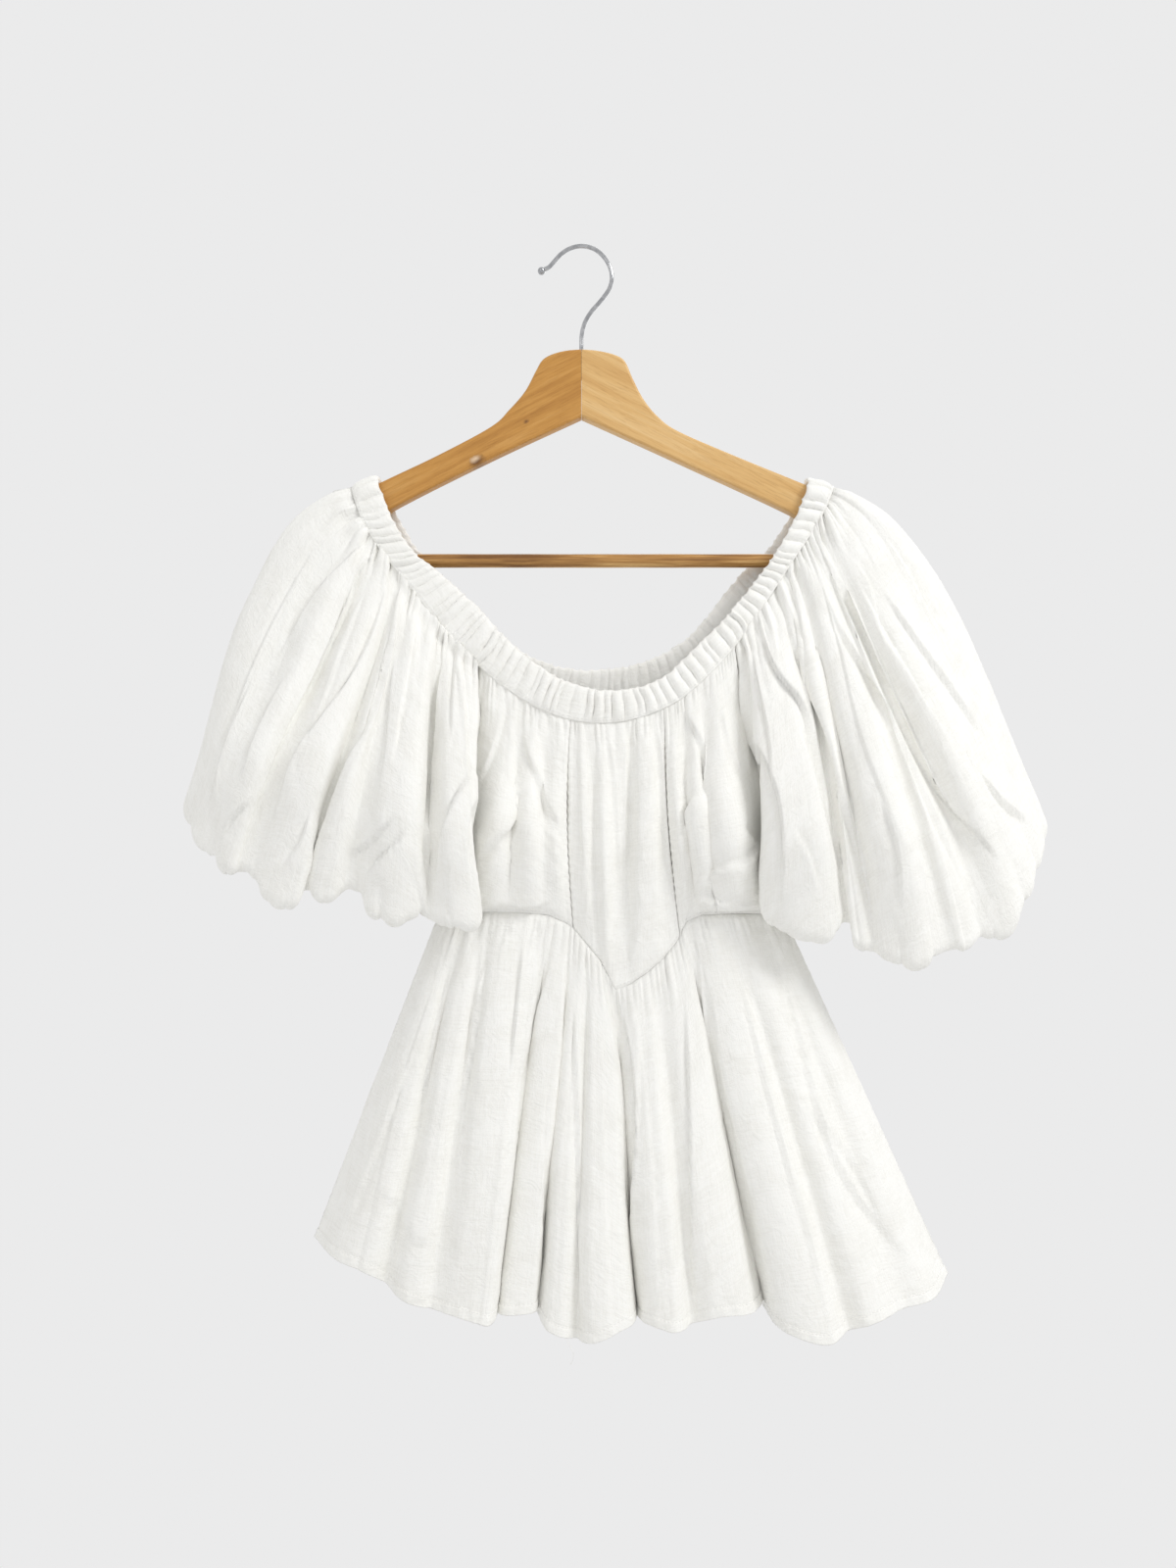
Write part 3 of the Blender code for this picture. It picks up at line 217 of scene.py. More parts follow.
# Folds of the peplum from the waist seam to the hem, a row for each crest or valley
Fold = namedtuple("Fold", "waist_x hem_x hem_z y_upper y_lower y_hem")
PEPLUM_FRONT = table(Fold,
    (-108, -203, -756, 0, 0, 0), (-101, -180, -760, -22, -30, -34),
    (-95, -158, -764, -29, -40, -46), (-86, -141, -775, -25, -34, -40),
    (-79, -124, -782, -36, -48, -56), (-70, -107, -788, -31, -44, -52),
    (-59, -88, -790, -42, -56, -62), (-41, -73, -793, -44, -58, -66),
    (-29, -65, -795, -41, -55, -62), (-22, -61, -795, -28, -28, -24),
    (-16, -53, -794, -36, -44, -48), (-11, -38, -792, -38, -46, -50),
    (-6, -31, -793, -31, -33, -32), (0, -20, -803, -40, -50, -58), (6, -2, -809, -36, -46, -52),
    (11, 12, -806, -42, -56, -66), (18, 33, -797, -40, -53, -61), (26, 41, -800, -28, -26, -22),
    (35, 50, -796, -40, -52, -58), (46, 66, -799, -44, -58, -66), (56, 81, -798, -38, -50, -54),
    (65, 101, -790, -42, -56, -62), (72, 122, -790, -40, -51, -56), (79, 136, -791, -28, -27, -24),
    (86, 147, -800, -40, -54, -60), (100, 174, -807, -44, -60, -68),
    (111, 193, -803, -36, -48, -54), (123, 212, -796, -38, -52, -58),
    (137, 236, -792, -26, -37, -43), (147, 260, -789, -22, -30, -34), (155, 281, -784, 0, 0, 0))
PEPLUM_BACK = table(Fold,
    (-108, -203, -756, 0, 0, 0), (-98, -172, -763, 18, 24, 26), (-80, -140, -774, 15, 18, 18),
    (-62, -110, -783, 24, 32, 36), (-46, -84, -790, 18, 20, 20), (-30, -56, -795, 25, 33, 37),
    (-12, -26, -799, 18, 20, 19), (6, 4, -802, 26, 34, 39), (26, 36, -803, 19, 21, 21),
    (46, 68, -802, 26, 35, 40), (64, 100, -801, 18, 20, 20), (82, 132, -799, 25, 34, 38),
    (100, 166, -797, 18, 21, 21), (120, 204, -794, 24, 32, 35), (143, 248, -789, 16, 20, 22),
    (155, 281, -784, 0, 0, 0))

# Outline of each half of the hanger from the middle outwards: upper edge, then lower edge
Edge = namedtuple("Edge", "x z")
ARM_LEFT_UPPER = table(Edge,
    (-11, -80), (-22, -83), (-29, -87.5), (-34, -96), (-42, -111), (-54, -125), (-68, -138),
    (-108, -159.5), (-151, -180), (-190, -199.5), (-211, -219), (-220, -234), (-216, -246))
ARM_LEFT_LOWER = table(Edge,
    (-205, -252), (-193, -246), (-170, -220), (-144, -201), (-70, -163.5))
ARM_RIGHT_UPPER = table(Edge,
    (13, -80), (26, -83), (34, -88), (40, -101), (48, -116.5), (59, -130), (75, -141.5),
    (120, -161), (169, -181), (206, -196.5), (229, -219), (239, -235), (235, -247))
ARM_RIGHT_LOWER = table(Edge,
    (224, -252), (212, -246), (188, -222), (162, -204.5), (76, -164.5))
HEAD_TOP_Z = -79.0
HEAD_FOOT_Z = -130.5

# Centre line of the hook's wire, from just behind the ball to where it enters the wood
Bend = namedtuple("Bend", "x z")
HOOK = table(Bend,
    (-27.5, -16.4), (-23.5, -14.2), (-19.5, -9.8), (-14.5, -4.4), (-7.5, -0.1), (0.6, 1.65),
    (9, 0.2), (15.5, -3.9), (20.5, -10), (23.6, -17), (24.2, -24), (22, -31.5), (16, -40),
    (8.5, -48.6), (3.6, -57), (1.3, -66), (MITRE_X, -76), (MITRE_X, -88),
    (MITRE_X, HEAD_TOP_Z - HOOK_DEPTH))


# Small creases: x z pairs along each, as seen from the front, then its width and depth
Crease = namedtuple("Crease", "line width depth")
LEFT_SLEEVE_CREASES = table(Crease,
    ((-155, -222, -176, -245, -197, -270, -221, -313), 4.5, 2.6),
    ((-148, -233, -166, -252, -173, -280, -185, -309, -216, -377), 5, 3.2),
    ((-143, -256, -152, -295, -166, -330, -187, -363, -204, -389, -216, -419, -226, -445), 5, 2.8),
    ((-134, -249, -138, -287, -144, -332, -152, -365, -166, -396, -180, -429, -201, -481),
     4.5, 3.0),
    ((-120, -275, -124, -320, -128, -360, -133, -400), 4, 1.6),
    ((-102, -309, -104, -341, -106, -389, -109, -436, -109, -495), 4.5, 3.0),
    ((-92, -300, -93, -340, -92, -380), 3.5, 1.6),
    ((-74, -323, -75, -355, -72, -384, -75, -412, -80, -448, -77, -490), 4, 2.2),
    ((-74, -396, -91, -426, -100, -460, -105, -483), 4.5, 2.4),
    ((-119, -443, -145, -465, -157, -476), 5, 2.4), ((-128, -430, -150, -452, -170, -462), 4, 1.4),
    ((-214, -330, -232, -372, -243, -410), 6, 1.8), ((-240, -330, -262, -392, -272, -436), 7, 1.6),
    ((-235, -420, -252, -436, -262, -450), 5, 1.6), ((-192, -430, -200, -452, -214, -468), 5, 1.8))
RIGHT_SLEEVE_CREASES = table(Crease,
    ((114, -302, 117, -327, 121, -363, 134, -398, 141, -424, 144, -460, 143, -500), 4.5, 2.8),
    ((157, -360, 167, -403, 181, -455, 192, -479), 5, 2.6),
    ((131, -275, 141, -323, 160, -353, 170, -384, 176, -412, 185, -467), 4.5, 2.6),
    ((150, -268, 157, -304, 171, -346, 178, -377, 185, -412, 195, -443, 204, -479), 4.5, 2.8),
    ((169, -275, 190, -304, 204, -341, 211, -370, 226, -403, 238, -443, 247, -481, 256, -514),
     4.5, 2.6),
    ((181, -266, 190, -295, 209, -327, 235, -384, 247, -412, 261, -443, 282, -490), 4.5, 2.4),
    ((176, -231, 199, -270, 216, -311, 231, -351, 247, -389, 266, -422, 289, -448, 313, -474),
     7, 3.4),
    ((197, -231, 216, -261, 223, -295, 240, -327, 259, -363, 284, -394, 306, -426, 330, -457),
     5, 2.2),
    ((222, -262, 252, -310, 282, -352, 305, -380), 7, 1.8),
    ((290, -400, 312, -425, 338, -440), 6, 1.6), ((150, -440, 163, -462, 170, -486), 4, 1.6),
    ((212, -420, 224, -458, 228, -500), 5, 1.6))
BODICE_CREASES = table(Crease,
    ((18, -358, 24, -410, 28, -482), 3.2, 1.4), ((36, -358, 35, -410, 35, -482), 3.5, 2.0),
    ((56, -358, 60, -410, 65, -482), 3.5, 1.6), ((-1, -367, 0, -424, 2, -482), 3.0, 1.2),
    ((-38, -412, -48, -429, -57, -448, -73, -470), 5, 2.8),
    ((-44, -370, -37, -392, -29, -415, -20, -443), 5, 2.2),
    ((-30, -404, -23, -423, -13, -448), 4, 1.6),
    ((-54, -342, -57, -364, -65, -392, -73, -415), 4, 1.8),
    ((-66, -497, -40, -501, -17, -495), 5, 1.4),
    ((71, -348, 80, -364, 89, -384, 89, -409, 78, -437, 68, -459), 5, 2.4),
    ((76, -487, 100, -493, 130, -498), 5, 1.5), ((97, -400, 94, -424, 97, -446, 106, -458), 4, 1.4),
    ((126, -454, 106, -468, 86, -482), 5, 2.4), ((108, -440, 118, -449, 130, -457), 4, 1.4),
    ((104, -350, 106, -380, 113, -410), 4, 1.4))
PEPLUM_CREASES = table(Crease,
    ((-93, -534, -111, -605, -118, -665), 5, 1.8), ((-70, -520, -75, -587, -90, -658), 5, 2.2),
    ((-42, -523, -51, -622), 4, 2.0),
    ((-19, -530, -33, -594, -42, -637, -51, -718, -61, -800), 4, 2.2),
    ((-26, -658, -32, -789), 4, 1.6), ((-5, -559, -3, -665, 2, -807), 4.5, 2.2),
    ((26, -559, 41, -637, 40, -792), 4.5, 2.4), ((45, -576, 43, -700, 48, -800), 4, 1.2),
    ((77, -559, 80, -665, 82, -800), 4.5, 2.2),
    ((77, -523, 95, -587, 105, -647, 116, -708, 128, -792), 5, 2.6),
    ((85, -516, 102, -612, 116, -672, 130, -743, 144, -800), 4.5, 1.6),
    ((114, -541, 141, -658, 162, -736, 180, -814), 6, 1.8),
    ((148, -534, 183, -679, 250, -771), 7, 2.0), ((-120, -600, -150, -680, -178, -752), 7, 1.6),
    ((-150, -700, -120, -735, -100, -742), 8, 1.0), ((160, -640, 200, -690, 225, -740), 8, 1.2))


# Splines

def rounded(values, position, closed=False):
    """Values along a list at any positions, rounded between its entries."""
    values, position = np.asarray(values, float), np.asarray(position, float)
    n = len(values)
    if closed:
        i = np.floor(position).astype(int)
        a, b, c, d = (values[(i + k) % n] for k in (-1, 0, 1, 2))
    else:
        i = np.clip(np.floor(position).astype(int), 0, n - 2)
        first, last = 2 * values[0] - values[1], 2 * values[-1] - values[-2]
        longer = np.concatenate([[first], values, [last]])
        a, b, c, d = (longer[i + k] for k in range(4))
    t = (position - i).reshape(position.shape + (1,) * (values.ndim - 1))
    return 0.5 * (2 * b + (c - a) * t + (2 * a - 5 * b + 4 * c - d) * t ** 2
                  + (3 * b - a - 3 * c + d) * t ** 3)


def unit(vectors):
    return vectors / np.maximum(np.linalg.norm(vectors, axis=-1, keepdims=True), 1e-9)


def smooth(low, high, x):
    t = np.clip((x - low) / (high - low), 0, 1)
    return t * t * (3 - 2 * t)


def lengths(points):
    """Distance along each line of points, whose last but one axis runs along it."""
    steps = np.linalg.norm(np.diff(points, axis=-2), axis=-1)
    return np.concatenate([np.zeros(steps.shape[:-1] + (1,)), np.cumsum(steps, axis=-1)], axis=-1)


# The neck

NECK = NECK_FRONT + NECK_BACK
INNER = np.array([(s.inner_x, s.y, s.inner_z) for s in NECK], float)
OUTER = np.array([(s.outer_x, s.y, s.outer_z) for s in NECK], float)
RIGHT_TOP = len(NECK_FRONT)


def neck_frame(position):
    """Outer edge, the way down across the band, and the way out of the cloth."""
    edge = rounded(OUTER, position, closed=True)
    way = unit(edge - rounded(INNER, position, closed=True))
    ahead, behind = (rounded(OUTER, position + step, closed=True) for step in (0.02, -0.02))
    return edge, way, unit(np.cross(way, unit(ahead - behind)))


FRONT_ROUND = np.linspace(0, RIGHT_TOP, 1500)
BACK_ROUND = np.linspace(len(NECK), RIGHT_TOP, 1500)
FRONT_X = np.maximum.accumulate(rounded(OUTER, FRONT_ROUND, closed=True)[:, 0])
BACK_X = np.maximum.accumulate(rounded(OUTER, BACK_ROUND, closed=True)[:, 0])


def hang_from_neck(x, back=False, under=0.0):
    """The points just under the casing at x, or up under it by a little."""
    x = np.asarray(x, float)
    position = np.interp(x, BACK_X, BACK_ROUND) if back else np.interp(x, FRONT_X, FRONT_ROUND)
    edge, way, out = neck_frame(position)
    return edge + way * (CASING_GAP - under) + out * (WALL / 2 - 0.3 * under)


# Shapes of the cloth pieces, as grids of points: rows go down, columns across

def fold_column(top, foot, bow, depths, v, lean):
    line = top + (foot - top) * v[:, None]
    line[:, 0] += bow * np.sin(math.pi * v ** lean)
    line[:, 1] = rounded(depths, v * 3)
    return line


def pleat_column(row, v, back=False):
    top = hang_from_neck(row.neck_x, back)
    waist = WAIST_BACK if back else WAIST_FRONT
    foot = np.array([row.waist_x, *waist_at(waist, row.waist_x)])
    return fold_column(top, foot, row.bow, [top[1], row.y_upper, row.y_lower, foot[1]], v, 1.0)


def waist_at(table, x):
    """Depth and height of a waist seam at x."""
    order = sorted(table, key=lambda w: w.x)
    xs = [w.x for w in order]
    return np.stack([np.interp(x, xs, [getattr(w, axis) for w in order]) for axis in "yz"], axis=-1)


def sleeve_column(row, v, back):
    top = hang_from_neck(row.neck_x, back)
    foot = np.array([row.hem_x, row.y_hem, row.hem_z], float)
    return fold_column(top, foot, row.bow, [top[1], row.y_upper, row.y_lower, foot[1]], v, 0.5)


def side_edge(side, back, level):
    """Points down the side of a bodice panel: raglan seam, then side seam."""
    table = EDGE_LEFT if side == "left" else EDGE_RIGHT
    top = hang_from_neck(NECK_EDGE_X[side][1 if back else 0], back)
    steps = [e.level for e in table]
    x = np.interp(level, steps, [e.x for e in table])
    y = np.interp(level, steps, [e.y_back if back else e.y_front for e in table])
    y = np.where(level >= ARMHOLE_LEVEL, (1 if back else -1) * SEAM_GAP / 2, y)
    z = top[2] + (SIDE_FOOT_Z - top[2]) * level / LEVELS
    points = np.stack([x, y, z], axis=-1)
    points[0] = top
    return points


def across(columns, steps=STEPS):
    """A grid through fold columns, and the position of each of its columns among them."""
    columns = np.array(columns)
    u = np.linspace(0, len(columns) - 1, (len(columns) - 1) * steps + 1)
    return rounded(columns, u).transpose(1, 0, 2), u


def settle(grid, top, foot, reach=0.12):
    """Move the first and last row onto given lines, fading into the grid."""
    v = np.linspace(0, 1, len(grid))[:, None, None]
    if top is not None:
        grid = grid + (top - grid[0]) * (1 - smooth(0, reach, v))
    if foot is not None:
        grid = grid + (foot - grid[-1]) * smooth(1 - reach, 1, v)
    return grid


def normals_of(grid, flip, closed=False):
    if closed:
        grid = np.concatenate([grid[:, -1:], grid, grid[:, :1]], axis=1)
    made = unit(np.cross(np.gradient(grid, axis=1), np.gradient(grid, axis=0))) * flip
    return made[:, 1:-1] if closed else made


def spread_along(values, reach):
    """Values smoothed along the columns of a grid."""
    window = np.hanning(2 * reach + 3)[1:-1]
    window /= window.sum()
    padded = np.pad(values, [(0, 0), (reach, reach)] + [(0, 0)] * (values.ndim - 2), mode="edge")
    return sum(w * padded[:, k:k + values.shape[1]] for k, w in enumerate(window))


def walls(normal, reach=40):
    """How far each point is on the side of a fold rather than on its crest or floor: 0 to 1."""
    level = unit(spread_along(normal, reach))
    return 1 - (normal * level).sum(axis=-1) ** 2


def outward_flip(grid, towards):
    """1 or -1, so that the normals face that way on the whole."""
    return 1.0 if (normals_of(grid, 1.0) @ np.array(towards, float)).mean() > 0 else -1.0


# Heights along a surface

def puffs(s, seed, pitch, power=0.6):
    """Uneven rounded puffs side by side: 0 in the notches and 1 on top, and the number of each."""
    rng = np.random.default_rng(seed)
    count = int(2.2 * float(s.max()) / pitch) + 12
    bounds = np.cumsum(pitch * rng.uniform(0.5, 1.6, count)) - 3 * pitch
    i = np.clip(np.searchsorted(bounds, s), 1, len(bounds) - 1)
    phase = np.clip((s - bounds[i - 1]) / (bounds[i] - bounds[i - 1]), 0, 1)
    return np.sin(math.pi * phase) ** power, i


def pleat_heights(s, t, seed, gathers):
    """Rounded gathers with sharp valleys, which start at the top edge and run out downwards."""
    _, pitch, height, reach, wander, power, start = gathers
    rng = np.random.default_rng(seed)
    a, b = rng.uniform(0, 6.28, 2)
    drift = wander * (np.sin(s / 31 + a) * t / 12
                      + 1.6 * np.sin(t / 21 + s / 57 + b) * np.minimum(1, t / 25))
    wave, i = puffs(s + drift, seed, pitch, power)
    count = int(i.max()) + 1
    tall, long = height * rng.uniform(0.4, 1, count), reach * rng.uniform(0.28, 1, count) ** 1.2
    made = tall[i] * wave * (1 - smooth(0.15 * long[i], long[i], t))
    return (made - 0.45 * height * (1 - smooth(0, 0.7 * reach, t))) * smooth(start, start + 4, t)


def all_gathers(kinds, s, t, seed):
    return sum(pleat_heights(s, t, seed + gathers.seed, gathers) for gathers in kinds)


def fan_heights(u, v, seed, folds, depth, wide=(0.3, 0.7), start=(0.0, 0.35), end=(0.65, 1.15)):
    """Long folds down the hang of the cloth: a valley with a rounded ridge on one side of it."""
    rng = np.random.default_rng(seed)
    u, v = u[None, :], v[:, None]
    made = np.zeros((v.shape[0], u.shape[1]))
    for k in range(folds):
        centre = u.max() * (k + rng.uniform(0.15, 0.85)) / folds
        wide_here, side = rng.uniform(*wide), rng.choice((-1, 1))
        low, high = rng.uniform(*start), rng.uniform(*end)
        off = (u - centre - rng.normal(0, 0.3) * np.sin(math.pi * v)
               - rng.normal(0, 0.12) * np.sin(9 * v + k))
        fade = smooth(low, low + 0.12, v) * (1 - smooth(high - 0.3, high, v))
        made += depth * rng.uniform(0.45, 1) * fade * lapped(side * off, 0.06, 0.5 * wide_here)
    return made


def lapped(off, sharp, width):
    """The height across a fold: a rounded rise on one side of its edge, a trough on the other."""
    over = smooth(-sharp, sharp, off)
    return (over * 0.8 * np.exp(-np.maximum(off, 0) / (3.0 * width))
            - (1 - over) * np.exp(-np.maximum(-off, 0) / width))


def crease_heights(points, creases, strength=1.0, sharp=0.9):
    """Folds along given lines, seen from the front: cloth that laps over a trough."""
    flat = points[..., (0, 2)]
    made = np.zeros(flat.shape[:-1])
    for number, crease in enumerate(creases):
        side = -1 if number % 3 == 1 else 1
        line = np.array(crease.line, float).reshape(-1, 2)
        line = rounded(line, np.linspace(0, len(line) - 1, 5 * (len(line) - 1) + 1))
        at = np.concatenate([[0], np.cumsum(np.linalg.norm(np.diff(line, axis=0), axis=1))])
        best = np.full(made.shape, 1e9)
        along, turn = np.zeros(made.shape), np.ones(made.shape)
        for (a, b), start, end in zip(zip(line, line[1:]), at, at[1:]):
            way, off = b - a, flat - a
            t = np.clip((off @ way) / (way @ way), 0, 1)
            gap = np.linalg.norm(flat - (a + t[..., None] * way), axis=-1)
            near = gap < best
            turn = np.where(near, np.sign(way[0] * off[..., 1] - way[1] * off[..., 0]), turn)
            best = np.where(near, gap, best)
            along = np.where(near, start + t * (end - start), along)
        share = along / at[-1]
        fade = smooth(0, 0.25, share) * (1 - smooth(0.72, 1.0, share))
        made += (1.35 * strength * crease.depth * fade
                 * lapped(side * turn * best, sharp, crease.width))
    return made


def crinkle_heights(s, t, seed, count, lean=0.0, height=0.45, long=(12, 60), wide=(1.3, 3.2)):
    """Short soft folds strewn over the cloth, mostly along its hang."""
    rng = np.random.default_rng(seed)
    made = np.zeros(t.shape)
    for _ in range(count):
        cs, ct = rng.uniform(s.min(), s.max()), rng.uniform(t.min(), t.max())
        angle = lean + rng.normal(0, 0.55)
        if rng.random() < 0.25:
            angle += math.pi / 2 + rng.normal(0, 0.3)
        half, width = rng.uniform(*long) / 2, rng.uniform(*wide)
        ds, dt = s - cs, t - ct
        along = ds * math.sin(angle) + dt * math.cos(angle)
        off = ds * math.cos(angle) - dt * math.sin(angle)
        off = off + rng.normal(0, 0.06) * along ** 2 / half
        beside = (off - 2.2 * width) / (1.8 * width)
        made += (rng.choice((-1, 1)) * height * rng.uniform(0.4, 1.0) * np.exp(-(along / half) ** 2)
                 * (np.exp(-(off / width) ** 2) - 0.45 * np.exp(-beside ** 2)))
    return made


def swell_heights(s, t, seed, size, height):
    """Broad, low unevenness."""
    rng = np.random.default_rng(seed)
    made = np.zeros(t.shape)
    for _ in range(10):
        angle = rng.uniform(0, math.pi)
        wave = size * rng.uniform(0.7, 1.6)
        made += np.sin((s * math.cos(angle) + t * math.sin(angle) * 0.6) * 2 * math.pi / wave
                       + rng.uniform(0, 6.28)) / 10
    return made * height * 2


def arc_lengths(grid):
    """mm across and down for each point of a grid."""
    down = lengths(grid.transpose(1, 0, 2)).T
    middle = lengths(grid[len(grid) // 2])
    return np.broadcast_to(middle, down.shape), down


# Meshes

def put(name, data, place=(0, 0, 0)):
    obj = bpy.data.objects.new(name, data)
    bpy.context.scene.collection.objects.link(obj)
    obj.location = place
    return obj


def link(name, mesh, material, nodes=()):
    obj = put(name, mesh)
    mesh.materials.append(material)
    mesh.polygons.foreach_set("use_smooth", [True] * len(mesh.polygons))
    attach(obj, "root")
    if nodes:
        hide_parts(*nodes)
    return obj


def mesh_from(name, points, faces, uv=None):
    mesh = bpy.data.meshes.new(name)
    mesh.from_pydata((np.asarray(points) * MM).tolist(), [], faces)
    if uv is not None:
        corner = np.empty(len(mesh.loops), np.int32)
        mesh.loops.foreach_get("vertex_index", corner)
        cut = mesh.uv_layers.new(name="cut").data
        cut.foreach_set("uv", (np.asarray(uv)[corner] * MM * UV_PER_METRE).ravel())
    mesh.update()
    return mesh


def quads(rows, columns, closed=False, offset=0):
    """Faces of a grid, as an array of point numbers."""
    gaps = columns if closed else columns - 1
    j, i = np.meshgrid(np.arange(rows - 1), np.arange(gaps), indexing="ij")
    k, upper, lower = (i + 1) % columns, j * columns, (j + 1) * columns
    return np.stack([upper + i, upper + k, lower + k, lower + i], axis=-1).reshape(-1, 4) + offset


def shell(name, grid, flip, material, nodes, st, closed=False):
    """A thin closed shell: the grid outside, a copy a cloth's thickness inside, and a rim."""
    rows, columns = grid.shape[:2]
    inner = grid - normals_of(grid, flip, closed) * CLOTH
    count = rows * columns
    faces = np.concatenate([quads(rows, columns, closed),
                            quads(rows, columns, closed, count)[:, ::-1]])
    top, foot = np.arange(columns), np.arange(count - 1, count - columns - 1, -1)
    if closed:
        rims = [top, foot]
    else:
        rims = [np.concatenate([top, np.arange(2 * columns - 1, count, columns), foot[1:],
                                np.arange(count - 2 * columns, 0, -columns)])]
    for rim in rims:
        after = np.roll(rim, -1)
        faces = np.concatenate([faces, np.stack([after, rim, rim + count, after + count], axis=-1)])
    if flip < 0:
        faces = faces[:, ::-1]
    s, t = st
    uv = np.stack([s, t], axis=-1).reshape(-1, 2)
    mesh = mesh_from(name, np.concatenate([grid.reshape(-1, 3), inner.reshape(-1, 3)]),
                     faces.tolist(), np.concatenate([uv, uv]))
    return link(name, mesh, material, nodes)


EDGES = {  # how far each added line goes across the seam, and how far into the cloth
    "under": ((0.12, 0.5), (1.7, 1.05), (3.4, 1.4)),
    "over": ((0.12, 0.15), (0.2, 0.4), (0.15, 0.7)),
    "tuck": ((0.0, 0.8), (0.0, 1.6), (0.0, 2.4)),
}


def tuck(grid, flip, styles, weight=None):
    """Finish edges as seams: lapped over or under the piece beside them, or turned in.

    weight gives, for each row, how much a side edge follows its style; the rest is turned in."""
    for side, style in styles.items():
        normal = normals_of(grid, flip)
        axis = 1 if side in ("left", "right") else 0
        if side in ("left", "top"):
            pick, near = np.s_[:1], np.s_[1:2]
        else:
            pick, near = np.s_[-1:], np.s_[-2:-1]
        take = (lambda a, k: a[:, k]) if axis else (lambda a, k: a[k])
        edge, n = take(grid, pick), take(normal, pick)
        away = unit(edge - take(grid, near))
        lines = []
        for own, turned in zip(EDGES[style], EDGES["tuck"]):
            line = edge + away * own[0] - n * own[1]
            if axis and weight is not None:
                w = weight[:, None, None]
                line = line * w + (edge + away * turned[0] - n * turned[1]) * (1 - w)
            lines.append(line)
        parts = lines[::-1] + [grid] if side in ("left", "top") else [grid] + lines
        grid = np.concatenate(parts, axis=axis)
        if not axis and weight is not None:
            pad = (3, 0) if side == "top" else (0, 3)
            weight = np.pad(weight, pad, mode="edge")
    return grid


def stitches(name, runs, material, pitch=2.9, length=2.1, radius=0.27):
    """Short raised threads along lines of points; each run is (points, outward normals)."""
    ring = [(math.cos(a), math.sin(a)) for a in np.linspace(0, 2 * math.pi, 6)[:-1]]
    points, faces = [], []
    for line, normal in runs:
        at = lengths(line)
        for start in np.arange(pitch / 2, at[-1] - length, pitch):
            stations = []
            for share, size in ((0, 0.35), (0.25, 1.0), (0.75, 1.0), (1, 0.35)):
                d = start + share * length
                p = np.array([np.interp(d, at, line[:, k]) for k in range(3)])
                n = unit(np.array([np.interp(d, at, normal[:, k]) for k in range(3)]))
                lift = 0.16 if size == 1 else -0.1
                stations.append((p + n * lift, n, size))
            way = unit(stations[-1][0] - stations[0][0])
            base = len(points)
            for p, n, size in stations:
                side = unit(np.cross(way, n))
                points.extend(p + (side * c + n * s) * radius * size for c, s in ring)
            for k in range(3):
                for m in range(5):
                    a, b = base + k * 5 + m, base + k * 5 + (m + 1) % 5
                    faces.append((a, b, b + 5, a + 5))
            faces.append(tuple(base + m for m in range(4, -1, -1)))
            faces.append(tuple(base + 15 + m for m in range(5)))
    return link(name, mesh_from(name, points, faces), material)


# Cloth pieces

SEAM_LINES = {}


def seam_fade(grid, reach=3.0):
    """0 on the side edges of a grid, 1 a little way in."""
    across_row = lengths(grid)
    return smooth(0, reach, across_row) * smooth(0, reach, across_row[:, -1:] - across_row)


def along_seams(grid, t, seed):
    """The ridge and small puckers that a sewn seam leaves on both sides of it."""
    across_row = lengths(grid)
    gap = np.minimum(across_row, across_row[:, -1:] - across_row)
    phase = np.random.default_rng(seed).uniform(0, 6.28)
    pucker = np.sin(2 * math.pi * t / 6.5 + phase + 0.5 * np.sin(t / 17))
    return 0.55 * np.exp(-((gap - 2.4) / 1.4) ** 2) + 0.32 * pucker * np.exp(-(gap / 5.5) ** 2)


